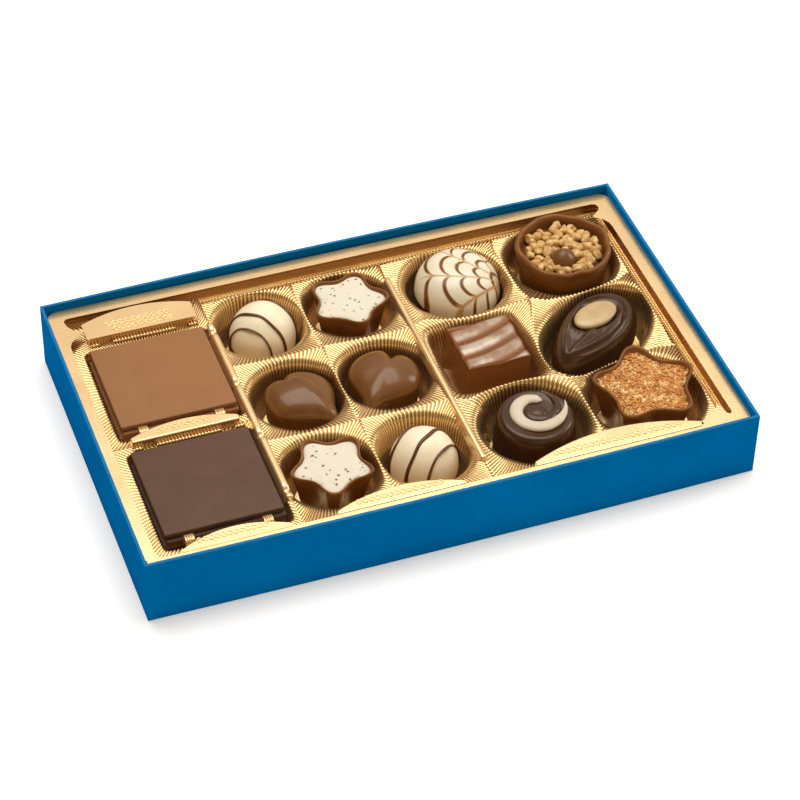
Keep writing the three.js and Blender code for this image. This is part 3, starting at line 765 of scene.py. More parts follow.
# %% Wells of the squares
WELL_FLOOR = 11.2
WELL_LIP = 18.6
WELL_RIDGE = 18.8
WELL_EDGES = (FIELD["back"], -5.8, FIELD["front"])
WELL_X = -74.3
WELL_ROWS = (20.2, -31.8)
WELL_HALF = (21.6, 22.8)

films = []
for j, y in enumerate(WELL_ROWS):
    well = Cup(WELL_X, y, rectangle=(*WELL_HALF, 22), draft=0.6)
    x0, x1, y0, y1 = FIELD["left"], SMALL_EDGES[0], WELL_EDGES[j], WELL_EDGES[j + 1]
    corners = [(x, y, WELL_RIDGE) for x, y in ((x0, y0), (x0, y1), (x1, y1), (x1, y0))]
    line = ring(*[ridge(corners[k], corners[(k + 1) % 4]) for k in range(4)])
    films.append(cup_film(f"well_{j}", well, line, floor=WELL_FLOOR, lip_height=WELL_LIP,
                          turn=(0.6, 0.6), fade=1.0))
film_block("tray_wells", films, [])

# %% [markdown]
# Thin bars stand between the wells and the cups, and between the small and the large cups. Each
# is a fold of the film with a flat back. Its section is laid along a line as a sheet, and the
# first bar dips at four places where the mould has notches.

# %% Bars between the sections
def bar(name, x, y0, y1, half, top, notches=()):
    """An upright fold of film along y with a flat back, soft ends and optional notches."""
    section = eased([(-half - 0.9, -3), (-half - 0.1, -0.5), (-half + 0.1, 0), (half - 0.1, 0),
                     (half + 0.1, -0.5), (half + 0.9, -3)], 2)

    def place(u, v):
        y = y0 + (y1 - y0) * u
        across, down = along(section, v)
        ends = step_up(y, y0, y0 + 1.2) * step_up(-y, -y1, -y1 + 1.2)
        dips = sum((bell(y - at, 1.2) for at in notches), np.zeros_like(y))
        height = top + down - 1.5 * (1 - ends) - 1.1 * np.minimum(dips, 1)
        return x + across * (0.4 + 0.6 * ends), y, height
    piece = smooth(sheet(name, 200, 12, place), 60)
    return finish_piece(edit(piece, face_outwards), gold, "gold_film")


bar("bar_beside_wells", SMALL_EDGES[0] - 0.4, -46.0, 44.0, 1.1, 20.3, (38.6, 11.6, -14.8, -41.7))
bar("bar_between_cups", SMALL_EDGES[2], -48.5, 47.5, 0.95, 19.5)

# %% [markdown]
# The rim is a flat border with five raised label plateaus in its plane. Flat pieces with a free
# outline come from a circle primitive: it gets as many points as the outline, its points are
# moved onto it, and its face is extruded down. A bevel rounds the edge that the mould rounds too.

# %% The rim
def slab(name, outline, low, high, bevel=0.0):
    """A level piece with the given outline, its upper edge rounded."""
    deselect()
    bpy.ops.mesh.primitive_circle_add(vertices=len(outline), radius=1, fill_type="NGON")
    piece = bpy.context.object
    piece.name = piece.data.name = name
    put_points(piece, [(x, y, low) for x, y in outline])
    edit(piece, face_outwards, lambda: bpy.ops.mesh.extrude_region_move(
        TRANSFORM_OT_translate={"value": (0, 0, (high - low) * MM)}), face_outwards)
    if bevel:
        apply(piece, "BEVEL", width=bevel * MM, segments=3, limit_method="ANGLE",
              angle_limit=math.radians(50))
    return piece


def rounded_corner(x, y, radius, start, steps=6):
    """Points of a quarter circle about (x, y) from a start angle in degrees."""
    return [(x + radius * math.cos(math.radians(start + 90 * k / steps)),
             y + radius * math.sin(math.radians(start + 90 * k / steps))) for k in range(steps + 1)]


HALF_LENGTH, HALF_WIDTH, RIM_CORNER = 103.4, 62.8, 4.0
RIM_FOOT = 15.5
outer = []
for sx, sy, start in ((1, 1, 0), (-1, 1, 90), (-1, -1, 180), (1, -1, 270)):
    outer += rounded_corner(sx * (HALF_LENGTH - RIM_CORNER), sy * (HALF_WIDTH - RIM_CORNER),
                            RIM_CORNER, start)

# the field inside the rim, with the pointed tongues that reach into three of its corners
field_outline = [
    (-99.7, -56.5), (-98.9, -58.9), (-96.8, -59.7), (86.6, -59.7), (87.0, -58.0), (93.0, -54.7),
    (94.6, -53.0), (95.5, -51.2), (96.3, -53.4), (96.9, -56.6), (97.9, -57.2), (98.7, -56.4),
    (98.7, -54.6), (98.7, 43.9), (98.4, 46.9), (97.0, 49.4), (94.0, 51.7), (94.7, 52.5),
    (97.4, 54.6), (98.2, 56.2), (97.6, 57.9), (96.2, 58.5), (-97.6, 58.5), (-98.7, 57.4),
    (-98.2, 54.6), (-96.4, 51.9), (-95.2, 51.3), (-93.6, 51.1), (-94.2, 50.2), (-98.9, 46.0),
    (-99.7, 44.0),
]
rim = slab("tray_rim", outer, RIM_FOOT, RIM_TOP)
cutter = slab("field_cutter", field_outline, 10, 30)        # reaches well past the rim both ways
apply(rim, "BOOLEAN", object=cutter, operation="DIFFERENCE", solver="EXACT")
bpy.data.objects.remove(cutter)
apply(rim, "BEVEL", width=0.45 * MM, segments=3, limit_method="ANGLE", angle_limit=math.radians(60))
apply(smooth(rim, 60), "WEIGHTED_NORMAL", weight=80)
finish_piece(rim, gold, "gold_film")

# %% [markdown]
# A plateau is straight in front and bulges at the back like a shallow arch. All five are level
# slabs of the same make, so one outline function serves for them.

# %% Label plateaus
PLATEAU_FOOT = 12
# each plateau: left and right end, y of its front, length of its upright ends, rise of its arch
PLATEAUS = {
    "back": (-93, -55.5, 46.5, 7, 10.8),
    "between_wells": (-93, -56, -7, 2.2, 6),
    "front_left": (-91, -55, -59.5, 0.7, 5.4),
    "front_middle": (-40, 4, -59.5, 1.6, 6.5),
    "front_right": (28, 88, -59.5, 2.1, 8.7),
}


def plateau_outline(x0, x1, y, end, rise, steps=24):
    """Straight in front, two short upright ends, and a shallow arc at the back."""
    line = [(x0, y), (x1, y)]
    for k in range(steps + 1):
        t = k / steps
        line.append((x1 + (x0 - x1) * t, y + end + (rise - end) * 4 * t * (1 - t)))
    return line


for place, sizes in PLATEAUS.items():
    piece = slab("plateau_" + place, plateau_outline(*sizes), PLATEAU_FOOT, RIM_TOP, bevel=0.5)
    apply(smooth(piece, 60), "WEIGHTED_NORMAL", weight=80)
    finish_piece(piece, gold, "gold_film")

# %% [markdown]
# Each plateau carries a braid as its ornament: two cords that wave round each other, half sunk in
# the film. Below the two plateaus at the back of the wells runs a ledge with a comb of ribs.

# %% Braids and combs
BRAID_PITCH = 4.2
CORD = 0.26                     # half the thickness of a cord
BRAIDS = [(-86, -63, 51.6), (-84, -62, 48.6), (-83, -66, -3.6), (-86, -62, -56.2),
          (-33, -3, -56.4), (35, 81, -56.0)]                # left end, right end, y


def cord(x0, x1, middle, side):
    """One cord of a braid from x0 to x1; side is 1 or -1."""
    turns = round((x1 - x0) / BRAID_PITCH)

    def place(u, v):
        a = 2 * np.pi * v
        swing = side * 0.9 * np.sin(2 * np.pi * turns * u) * step_up(u * (1 - u), 0, 0.02)
        wide = CORD * (0.4 + 0.6 * step_up(u * (1 - u), 0, 0.012))
        x, y = x0 + (x1 - x0) * u, middle + swing + wide * np.cos(a)
        return x, y, RIM_TOP + wide * np.sin(a)
    return wrapped("cord", turns * 14, 8, place)


cords = [cord(x0, x1, y, side) for x0, x1, y in BRAIDS for side in (1, -1)]
finish_piece(join("braids", cords), gold, "gold_film")

LEDGE = 19.8                    # height of the ledges


def comb(x0, x1, y):
    """A low ledge with ribs across it."""
    ribs = round((x1 - x0) / 1.1)
    section = eased([(1.4, -1.2), (0.9, -0.1), (0.5, 0), (-0.5, 0), (-0.9, -0.2), (-1.1, -2.5)], 2)

    def place(u, v):
        across, down = along(section, v)
        wave = 0.16 * np.cos(2 * np.pi * ribs * u) * step_up(v, 0, 0.2)
        return x0 + (x1 - x0) * u, y + across, LEDGE + down + wave
    piece = sheet("comb", ribs * SAMPLES, 12, place)
    share = (points_of(piece)[:, 0] - x0) / (x1 - x0)
    # painted shade in the grooves between the ribs
    keep(piece, "groove_shade", 0.5 - 0.5 * np.cos(2 * np.pi * ribs * share))
    return piece


combs = [comb(x0, x1, y) for y in (45.6, -7.6)
         for x0, x1 in ((-92.6, -89.4), (-84.8, -62.6), (-58, -54.8))]
combs = edit(join("combs", combs), face_outwards)
finish_piece(smooth(combs), ribbed_gold, "gold_film")

# %% [markdown]
# Along the foot of the back wall and the right wall the film has a narrow trough. Ribs cross it,
# with the same spacing as on the cups.

# %% Ribbed strip at the foot of the walls
def foot_strip(name, start, end, inward):
    """A trough from start to end; inward is the direction of the field from the wall."""
    start, end, inward = (np.array(p, float) for p in (start, end, inward))
    ribs = round(np.hypot(*(end - start)) / 1.15)
    section = eased([(-0.1, 0.9), (0.0, 0.1), (0.5, -0.35), (1.1, -0.25), (1.75, 0.05)], 2)

    def place(u, v):
        inset, height = along(section, v)
        wave = 0.17 * np.cos(2 * np.pi * ribs * u) * step_up(v, 0, 0.2)
        x, y = (start[k] + (end[k] - start[k]) * u + inward[k] * inset for k in range(2))
        return x, y, WALL_FOOT + height + wave
    piece = sheet(name, ribs * SAMPLES, 10, place)
    # painted shade: the low part of the trough is coloured as dark as a rib groove
    keep(piece, "groove_shade", 1 - step_up(points_of(piece)[:, 2], WALL_FOOT - 0.5, WALL_FOOT - 0.05))
    if piece.data.polygons[0].normal.z < 0:
        edit(piece, bpy.ops.mesh.flip_normals)
    return finish_piece(smooth(piece), ribbed_gold, "gold_film")


foot_strip("foot_of_back_wall", (-98.5, FIELD["back"]), (98.5, FIELD["back"]), (0, -1))
foot_strip("foot_of_right_wall", (FIELD["right"], 58.0), (FIELD["right"], -56.5), (-1, 0))

# %% [markdown]
# Two small ribbed blocks stand at the front of each well and keep the squares in place. Each is
# a fold of film again, whose two ends fall steeply.

# %% Small blocks in front of the wells
LUG_TOP = 21.2
LUG_COLUMNS = (-87.3, -61.2)


def lug(x, y):
    section = eased([(-2.0, -5), (-1.8, -0.5), (-1.3, 0), (1.5, 0), (2.1, -0.6), (2.4, -5)], 2)

    def place(u, v):
        across, down = along(section, v)
        side = 1.6 * np.clip((u - 0.5) * 2.6, -1, 1)
        fall = 4.5 * step_up(np.abs(u - 0.5), 0.36, 0.5)
        ribs = 0.14 * np.cos(u * 2 * np.pi * 6) * step_up(0.36 - np.abs(u - 0.5), 0, 0.1)
        return x + side, y + across, LUG_TOP + down - fall + ribs
    return sheet("lug", 48, 12, place)


lugs = [lug(x, y - WELL_HALF[1] + 1.5) for y in WELL_ROWS for x in LUG_COLUMNS]
lugs = edit(join("lugs", lugs), face_outwards)
finish_piece(smooth(lugs, 50), gold, "gold_film")

# %% [markdown]
# The squares are thin plates, pressed smooth, one on another. A cube primitive gives the plate,
# and all its edges get the same small round. Each plate is put where its node is in the frame,
# so the stack keeps its small slips.

# %% Stacks of chocolate squares
PLATE_GROWTH = 0.8              # each plate reaches this much further right and back than its node


def chocolate_plate(name, node, finish, slot):
    """A thin plate with softened edges in the place of a node."""
    low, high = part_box(node)
    high = high + Vector((PLATE_GROWTH, PLATE_GROWTH, 0)) * MM
    deselect()
    bpy.ops.mesh.primitive_cube_add(size=1, location=(low + high) / 2, scale=high - low)
    piece = bpy.context.object
    piece.name = piece.data.name = name
    bpy.ops.object.transform_apply(location=True, rotation=True, scale=True)
    edit(piece, lambda: bpy.ops.mesh.subdivide(number_cuts=1))
    apply(piece, "BEVEL", width=0.45 * MM, segments=4, limit_method="ANGLE",
          angle_limit=math.radians(50))
    return finish_piece(smooth(piece, 40), finish, slot, node)


for kind, finish, slot in (("milk", milk_plate_finish, "milk_chocolate"),
                           ("dark", dark_plate_finish, "dark_chocolate")):
    for k in range(1, 5):
        chocolate_plate(f"{kind}_square_{k}", f"{kind}_plate_{k}", finish, slot)

# %% [markdown]
# A moulded praline is a form of revolution at heart: a profile that is turned about the middle.
# A grid is wrapped round the axis, one way being the angle and the other way the profile, and
# then the radius and the height may change with the angle.

# %% Helper for round pralines
SEAT = 2.2                      # underside of every praline


def praline(name, middle, profile, shape=None, columns=96, rows=48):
    """A turned form; profile is (radius, height) from below; shape moves (angle, r, z)."""
    line = eased(profile)

    def place(u, v):
        angle = 2 * np.pi * u
        r, z = along(line, v)
        if shape:
            angle, r, z = shape(angle, r, z)
        return middle[0] + r * np.cos(angle), middle[1] + r * np.sin(angle), z
    return wrapped(name, columns, rows, place)


print("praline helper ready")

# %% [markdown]
# The small white domes have dark lines piped across them. The lines are round cords that are
# half sunk in the white. Each lies in an upright plane, so it is a tube swept along the arc where
# that plane cuts the dome. A dark band in the finish of the lines also wraps the low wall of the dome.

# %% Striped domes
line_finish = chocolate("piped_line", linear(92, 54, 26), linear(80, 45, 20), 0.32, coat=0.3)
DOME = dict(radius=11.5, waist=9.7, top=22.2)
DOMES = {
    "back": ((-32.7, 42.3), -136, (8.1, 3.6, -6.9)),
    "front": ((-1.5, -34.4), -55, (-7.4, 0.9, 7.3)),
}


def dome_height(r):
    rise = DOME["top"] - DOME["waist"]
    return DOME["waist"] + rise * np.sqrt(np.clip(1 - (r / DOME["radius"]) ** 2, 0, 1))


def cord_over_dome(middle, offset, direction, thick=0.68):
    """A piped line in the plane that lies offset from the axis of the dome."""
    half = math.sqrt(DOME["radius"] ** 2 - offset ** 2)
    nx, ny = math.cos(direction), math.sin(direction)

    def place(u, v):
        t = 2 * u - 1
        s = half * np.sin(np.pi * t / 2)
        z = dome_height(np.hypot(s, offset)) - 2.6 * step_up(np.abs(t), 0.97, 1.0)
        a = 2 * np.pi * v
        wide = thick * (1 + 0.12 * np.sin(5 * t + offset))
        out = offset + 0.2 * np.sin(s * 0.7 + offset) + wide * np.cos(a)
        lean = np.hypot(s, offset) / DOME["radius"]
        lift = 0.75 * thick * np.sin(a)
        out = out + lift * offset / DOME["radius"]
        s = s * (1 + lift * 0.7 / DOME["radius"])
        x, y = middle[0] + nx * out - ny * s, middle[1] + ny * out + nx * s
        return x, y, z + lift * np.sqrt(1 - np.clip(lean, 0, 0.98) ** 2)
    return wrapped("line", 72, 12, place)


for name, (middle, turn, offsets) in DOMES.items():
    node = "striped_dome_" + name

    def dome_form(u, v):
        """The underside and the low wall take up 0.3 of v, the round top the rest."""
        a = np.clip((v - 0.3) / 0.7, 0, 1) * np.pi / 2
        low = np.clip(v / 0.3, 0, 1)
        foot_r = np.where(low < 0.5, 10.3 * low / 0.5, 10.3 + 1.2 * np.sin((low - 0.5) * np.pi))
        foot_z = np.where(low < 0.5, SEAT, SEAT + (DOME["waist"] - SEAT) * (low - 0.5) / 0.5)
        r = np.where(v < 0.3, foot_r, DOME["radius"] * np.cos(a))
        z = np.where(v < 0.3, foot_z, DOME["waist"] + (DOME["top"] - DOME["waist"]) * np.sin(a))
        return middle[0] + r * np.cos(2 * np.pi * u), middle[1] + r * np.sin(2 * np.pi * u), z
    finish_piece(wrapped(f"white_dome_{name}", 72, 40, dome_form), white, "white_chocolate", node)
    lines = [cord_over_dome(middle, offset, math.radians(turn)) for offset in offsets]
    # a dark band round the low wall of the dome, from 2.6 to 7.6 mm high
    foot = praline("foot", middle, [(10.6, 2.6), (11.3, 2.6), (11.85, 4.0), (11.95, 6.4), (11.5, 7.4),
                                    (11.0, 7.6)], columns=72, rows=12)
    lines = join(f"dome_lines_{name}", lines + [foot])
    finish_piece(smooth(lines), line_finish, "dark_chocolate")

# %% [markdown]
# The star cups are thin chocolate shells with five round points. Their radius swings with the
# angle, and their rim waves a little up and down where the shell was drawn from the mould. The
# grid follows the outer wall, goes over the rim and down the inner wall to a floor.

# %% Star cups
SMALL_STAR = dict(radius=14.3, top=20.3, wall=1.2)
LARGE_STAR = dict(radius=18.5, top=22.5, wall=1.5)
STARS = {
    "star_cup_back": dict(SMALL_STAR, middle=(-2.2, 40.0), phase=131.0, seed=1),
    "star_cup_front": dict(SMALL_STAR, middle=(-33.9, -35.3), phase=111.3, seed=5),
    "crystal_star_cup": dict(LARGE_STAR, middle=(77.4, -34.7), phase=83.5, seed=9),
}
STAR_VALLEY = 0.74


def star(angle, phase):
    """1 at a point of the star, less between two points."""
    wave = 0.5 + 0.5 * np.cos(5 * (angle - math.radians(phase)))
    return STAR_VALLEY + (1 - STAR_VALLEY) * wave ** 1.3


def star_cup(name, middle, radius, top, wall, phase, seed):
    inner = radius - wall
    profile = [(0, SEAT), (radius * 0.68, SEAT), (radius * 0.73, 4.2), (radius * 0.85, 13),
               (radius * 0.97, top - 1.6), (radius, top - 0.5), (radius - 0.25, top),
               (inner + 0.4, top), (inner, top - 0.5), (inner - 0.4, top - 2.6), (0, top - 2.8)]

    def shape(angle, r, z):
        high = step_up(z, 12, top - 1)
        sway = 0.35 * np.sin(3 * angle + seed) + 0.25 * np.sin(7 * angle + 2 * seed)
        rise = 0.5 * np.sin(5 * (angle - math.radians(phase)) + 1.3) \
            + 0.5 * np.sin(4 * angle + seed)
        fold = star(angle, phase)
        return angle, r * (fold + 0.012 * sway), z + 0.6 * rise * high * (r > inner - 0.5)
    piece = praline(name.replace("cup", "shell"), middle, profile, shape, columns=160, rows=60)
    return finish_piece(piece, milk, "milk_chocolate", name)


for name, sizes in STARS.items():
    star_cup(name, **sizes)

# %% [markdown]
# Two of the cups hold a white cream with small brown specks. The specks are part of the cream,
# so the shader makes them: noise cells that pass a high threshold become brown dots.

# %% Cream with specks
def specked_cream():
    finish = Finish("specked_cream", linear(224, 214, 192), 0.6, Specular_IOR_Level=0.2)
    near = finish.span(finish.cells(0.5), 0.32, 0.22)
    ragged = finish.span(finish.grain(1.6, 2.0), 0.42, 0.5)
    kept = finish.span(finish.grain(0.3, 0.0, seed=3.0), 0.45, 0.5)
    dots = finish.math("MULTIPLY", finish.math("MULTIPLY", near, ragged), kept)
    finish.colour(finish.mix(dots, linear(219, 210, 190), linear(112, 84, 40)))
    finish.bump(finish.grain(1.2, 4.0), 0.25, 0.5)
    return finish.material


cream = specked_cream()


def cream_filling(name, node, middle, radius, top, wall, phase, seed):
    profile = [(0, top - 2.6), (radius - wall - 0.1, top - 2.5), (radius - wall, top - 1.4),
               (radius - wall - 0.6, top - 0.9), (radius - 4, top - 0.6), (0, top - 0.4)]

    def shape(angle, r, z):
        lumps = 0.12 * ripple(r * np.cos(angle), r * np.sin(angle), 0 * z, 2.5, seed)
        return angle, r * star(angle, phase), z + lumps * step_up(z, top - 1.6, top - 1)
    piece = praline(name, middle, profile, shape, columns=120, rows=40)
    return finish_piece(piece, cream, "white_filling", node)


for side in ("back", "front"):
    cream_filling(f"cream_{side}", f"star_filling_{side}", **STARS[f"star_cup_{side}"])

# %% [markdown]
# The hearts are smooth and glossy. Seen from above, a heart is a circle with a cleft, two lobes
# and a tip. One lobe is high and round; a crease that starts in the cleft sweeps past it to the
# tip, and beyond it lies the second lobe. Both lie on an upright wall with a fine shoulder line.

# %% Hearts
def heart_outline(angle):
    a = np.abs(np.arctan2(np.sin(angle), np.cos(angle)))
    return 12.6 - 2.5 * bell(a, 0.3) + 3.6 * bell(np.pi - a, 0.26) - 1.2 * bell(a - 2.35, 0.5)


HEART_PROFILE = [(0, SEAT), (0.86, SEAT), (0.91, 4), (0.95, 9), (0.97, 13.6), (1.0, 14.6),
                 (0.985, 15.6), (0.9, 17.3), (0.72, 18.9), (0.45, 20.1), (0.2, 20.6), (0, 20.7)]


def heart(name, node, middle, cleft, sweep, reach, step):
    """cleft is the direction of the cleft in degrees; the rest is in shares of the radius.

    sweep is how far the crease bows sideways, reach is where it fades towards the tip, and step
    is the share of the crease's depth by which the second lobe lies lower.
    """

    def shape(angle, r, z):
        from_cleft = angle - math.radians(cleft)
        away, across = r * np.cos(from_cleft), -r * np.sin(from_cleft)
        past = across - sweep * (1 - away ** 2)
        near = np.clip((past + 0.34) / 0.34, 0, 1) ** 2
        far = np.clip(past / 0.3, 0, 1)
        lobe = np.where(past < 0, near, 1 - (1 - step) * far * (2 - far))
        crease = 1.6 * lobe * step_up(away, reach - 0.35, reach + 0.35)
        cleft_cut = 1.7 * bell(across, 0.1) * step_up(away, 0.45, 1.0)
        fade = step_up(z, 13, 16) * step_up(np.hypot(away, across), 0, 0.12)
        return angle, r * heart_outline(from_cleft), z - np.maximum(crease, cleft_cut) * fade
    piece = praline(name, middle, HEART_PROFILE, shape, columns=200, rows=110)
    return finish_piece(piece, glossy_milk, "milk_chocolate", node)


heart("heart_praline_left", "heart_left", (-31.6, 3.1), 118, 0.42, -0.7, 0.75)
heart("heart_praline_right", "heart_right", (-2.1, 3.3), 54, 0.05, 0.45, 0.0)

# %% [markdown]
# The oval praline is white with a feathered pattern: brown arcs were piped on it and thin lines
# drawn across them. Both follow the surface, so they are worked out on the form's own points in
# millimetres and kept as a colour attribute of a fine mesh, which the shader reads.

# %% Oval praline
OVAL = dict(middle=(38.3, 40.4), half_x=14.8, half_y=15.2)


def oval_form(name, profile, columns=96, rows=48):
    """A turned form with shares of the oval's half sizes as its radius."""
    line = eased(profile)

    def place(u, v):
        angle = 2 * np.pi * u
        r, z = along(line, v)
        return (OVAL["middle"][0] + OVAL["half_x"] * r * np.cos(angle),
                OVAL["middle"][1] + OVAL["half_y"] * r * np.sin(angle), z)
    return wrapped(name, columns, rows, place)


FAN = (51.0, 33.0)                          # all the drawn lines run to this point in the plane
FAN_LINES = (60, 104, 142, 176, 208, 244)   # their directions half way, in degrees
ARCS = (3.0, 9.0, 15.0, 20.6, 26.4)         # how far from there each piped arc reaches
ARC_BEND = 4.2                              # how far the arcs are drawn out to points


def feathers(x, y):
    """How brown the surface is: 1 on a piped arc or a drawn line, 0 between."""
    dx, dy = x - FAN[0], y - FAN[1]
    reach, angle = np.hypot(dx, dy), np.degrees(np.arctan2(dy, dx))
    angle = np.mod(angle + 1.1 * (reach - 13), 360)
    lines, arcs = np.array(FAN_LINES), np.array(ARCS)
    nearest = lines[np.abs(angle[:, None] - lines).argmin(axis=1)]
    away = np.clip(np.abs(angle - nearest) / 18.0, 0, 1)
    drawn = 0.45 * bell(np.radians(angle - nearest) * reach, 0.32) * step_up(-reach, -29, -25)
    pulled = reach + ARC_BEND * step_up(reach, 0, 12) * (1 - np.sqrt(1 - (1 - away) ** 2.2))
    gap = np.abs(pulled[:, None] - arcs).min(axis=1)
    piped = step_up(-gap, -0.85, -0.35) * (0.5 + 0.5 * step_up(away, 0.03, 0.3))
    return np.maximum(drawn, piped)


OVAL_FOOT = [(0, SEAT), (0.86, SEAT), (0.94, 3.5), (0.99, 6), (0.99, 10.8), (0.9, 11.2), (0, 11.2)]
OVAL_SHELL = [(0, 10.8), (0.93, 10.8), (1.01, 11.3), (1.01, 13.5), (0.98, 16.8), (0.87, 20.2),
              (0.66, 22.9), (0.36, 24.2), (0, 24.5)]
finish_piece(oval_form("oval_foot", OVAL_FOOT), dark, "dark_chocolate", "oval_base")
shell = oval_form("feathered_oval", OVAL_SHELL, columns=280, rows=200)
spots = points_of(shell)
keep(shell, "feather", feathers(spots[:, 0], spots[:, 1]) * step_up(spots[:, 2], 10.6, 11.4))


def feathered():
    finish = Finish("feathered_white", linear(238, 226, 200), 0.34, Specular_IOR_Level=0.3,
                    Coat_Weight=0.2, Coat_Roughness=0.16)
    brown = finish.attribute("feather")
    base_tone = finish.mix(finish.span(finish.grain(0.15), 0.3, 0.7), linear(231, 221, 199),
                           linear(225, 212, 186))
    thin = finish.mix(finish.span(brown, 0.0, 0.45), base_tone, linear(186, 144, 92))
    finish.colour(finish.mix(finish.span(brown, 0.5, 0.95), thin, linear(104, 66, 34)))
    finish.bump(finish.grain(3.0, 4.0), 0.01, 0.4)
    finish.bump(brown, 0.12, 0.4)
    finish.soften(0.2, *COCOA_BUTTER)
    return finish.material


finish_piece(shell, feathered(), "white_chocolate", "oval_shell")

# %% [markdown]
# The nut cup is a thick shell with an uneven rim, filled with golden pieces of brittle and a
# small chocolate drop. Each piece of brittle is a knobbly lump of its own. A few lumps are
# modelled once from a sphere primitive, and copies are laid over the filling at true size.

# %% Nut cup
NUT_MIDDLE = (77.3, 38.7)
NUT_PROFILE = [(0, SEAT), (13.2, SEAT), (13.9, 4), (15.2, 12), (16.4, 20), (17.0, 23.0),
               (16.8, 24.1), (16.2, 24.4), (15.5, 24.1), (15.1, 23.3), (14.8, 21), (14.3, 18.4),
               (0, 18.2)]


def uneven(angle, r, z):
    high = step_up(z, 14, 22)
    wave = 0.016 * np.sin(5 * angle + 0.6) + 0.010 * np.sin(9 * angle) \
        + 0.006 * np.sin(14 * angle + 2)
    rise = 0.30 * np.sin(4 * angle + 1.0) + 0.20 * np.sin(11 * angle)
    return angle, r * (1 + wave * high), z + 0.7 * rise * high


finish_piece(praline("nut_shell", NUT_MIDDLE, NUT_PROFILE, uneven, columns=160, rows=64), milk,
             "milk_chocolate", "nut_cup")

# %% [markdown]
# The filling is a bed with the lumps on it. They follow a golden spiral, which fills a circle
# evenly, with a little disorder added, and they leave the place of the drop free.

# %% Golden nut pieces
random = np.random.default_rng(11)


def lump(name, seed, size):
    """A knobbly nut piece about the origin: a small sphere pushed in and out."""
    deselect()
    bpy.ops.mesh.primitive_ico_sphere_add(subdivisions=3, radius=size * MM)
    piece = bpy.context.object
    piece.name = name
    p = points_of(piece)
    push = 1 + 0.42 * ripple(*p.T, size * 0.95, seed) + 0.12 * ripple(*p.T, size * 0.4, seed + 9)
    put_points(piece, p * push[:, None] * np.array([1.2, 0.95, 0.9]))
    return piece


def scatter(name, kinds, spots):
    """Joins turned copies of a few kinds of lump; spots are (x, y, z, scale)."""
    copies = []
    for x, y, z, scale in spots:
        piece = kinds[random.integers(len(kinds))].copy()
        piece.data = piece.data.copy()
        bpy.context.scene.collection.objects.link(piece)
        turn = Matrix.Rotation(random.uniform(0, 2 * math.pi), 4, "Z") \
            @ Matrix.Rotation(random.uniform(0, 2 * math.pi), 4, "X")
        shift = Matrix.Translation(Vector((x, y, z)) * MM)
        piece.data.transform(shift @ turn @ Matrix.Scale(scale, 4))
        copies.append(piece)
    for kind in kinds:
        bpy.data.objects.remove(kind)
    return join(name, copies)


def heap(middle, radius, spacing, z, keep_clear):
    """Spots on a golden spiral inside a circle, but not in the one (x, y, radius) kept clear."""
    count = int((radius / spacing) ** 2 * 3.4)
    spots = []
    for k in range(count):
        r = radius * math.sqrt((k + 0.5) / count)
        a = k * math.pi * (3 - math.sqrt(5))
        x, y = r * math.cos(a), r * math.sin(a)
        if math.hypot(x - keep_clear[0], y - keep_clear[1]) < keep_clear[2]:
            continue
        jitter = random.uniform(-0.25, 0.25, 2) * spacing
        spots.append((middle[0] + x + jitter[0], middle[1] + y + jitter[1],
                      z + random.uniform(-0.5, 0.6), random.uniform(0.8, 1.15)))
    return spots


def golden_nut():
    finish = Finish("golden_nut", linear(214, 172, 98), 0.5, Specular_IOR_Level=0.3, Coat_Weight=0.2,
                    Coat_Roughness=0.25)
    tone = finish.span(finish.grain(0.45, 3.0), 0.3, 0.7)
    finish.colour(finish.mix(tone, linear(168, 116, 48), linear(228, 192, 128)))
    finish.bump(finish.grain(1.8, 4.0), 0.2, 0.6)
    finish.soften(0.25, 1.5, 0.9, 0.4)
    return finish.material


def rough_bed(angle, r, z):
    """Small lumps all over the bed."""
    return angle, r, z + 0.3 * np.sin(r * 3 * np.cos(angle)) * np.cos(r * 3 * np.sin(angle))


nut_finish = golden_nut()
DROP = (-1.6, -4.4)             # the place of the drop, from the middle of the cup
DROP_CLEARANCE = 4.7
bed = praline("nut_bed", NUT_MIDDLE, [(0, 18.5), (13.4, 18.5), (14.2, 18.9), (13.4, 19.5), (0, 19.9)],
              rough_bed)
finish_piece(bed, chocolate("nut_bed", linear(120, 74, 28), linear(92, 54, 18), 0.5), "roasted_nut",
             "nut_crumble")
kinds = [lump(f"kind_{k}", 3.7 * k, 1.7) for k in range(8)]
spots = heap(NUT_MIDDLE, 13.2, 2.9, 21.0, (*DROP, DROP_CLEARANCE))
finish_piece(smooth(scatter("nut_pieces", kinds, spots)), nut_finish, "roasted_nut")

# %% [markdown]
# The drop in front is a drop of the same chocolate as the hearts, let fall on the bed: round
# below, drawn out to a soft point above, and not quite circular.

# %% Chocolate drop
drop = praline("drop", (NUT_MIDDLE[0] + DROP[0], NUT_MIDDLE[1] + DROP[1]),
               [(0, 19.7), (3.9, 19.8), (4.6, 21.2), (3.9, 23.1), (2.3, 24.4), (1.0, 25.1), (0, 25.4)],
               lambda a, r, z: (a, r * (1 + 0.03 * np.sin(3 * a)), z), columns=48, rows=30)
finish_piece(drop, glossy_milk, "milk_chocolate", "chocolate_drop")

# %% [markdown]
# The square praline has waves across its top, combed in while the chocolate was soft, and a
# breath of silvery dust on the crests. Its four sides are the mould's flat walls. The grid is
# folded over a block: the middle of the grid is the top and its margins hang down as the sides.

# %% Square praline
SQUARE = dict(middle=(35.4, 3.3), half=11.0, flare=0.7, top=20.3)
TOP_SHARE = 0.62                # share of the grid that is the top; the rest hangs down
WAVE_PITCH = 7.4


def comb_wave(x, y):
    """Height of the combed waves, which bend across the top: full crests, narrow grooves."""
    phase = np.pi / WAVE_PITCH * (y - 0.02 * x - 0.012 * (x + 11) ** 2 + 1.4)
    return 1.35 * (np.abs(np.cos(phase)) ** 0.55 - 0.6)


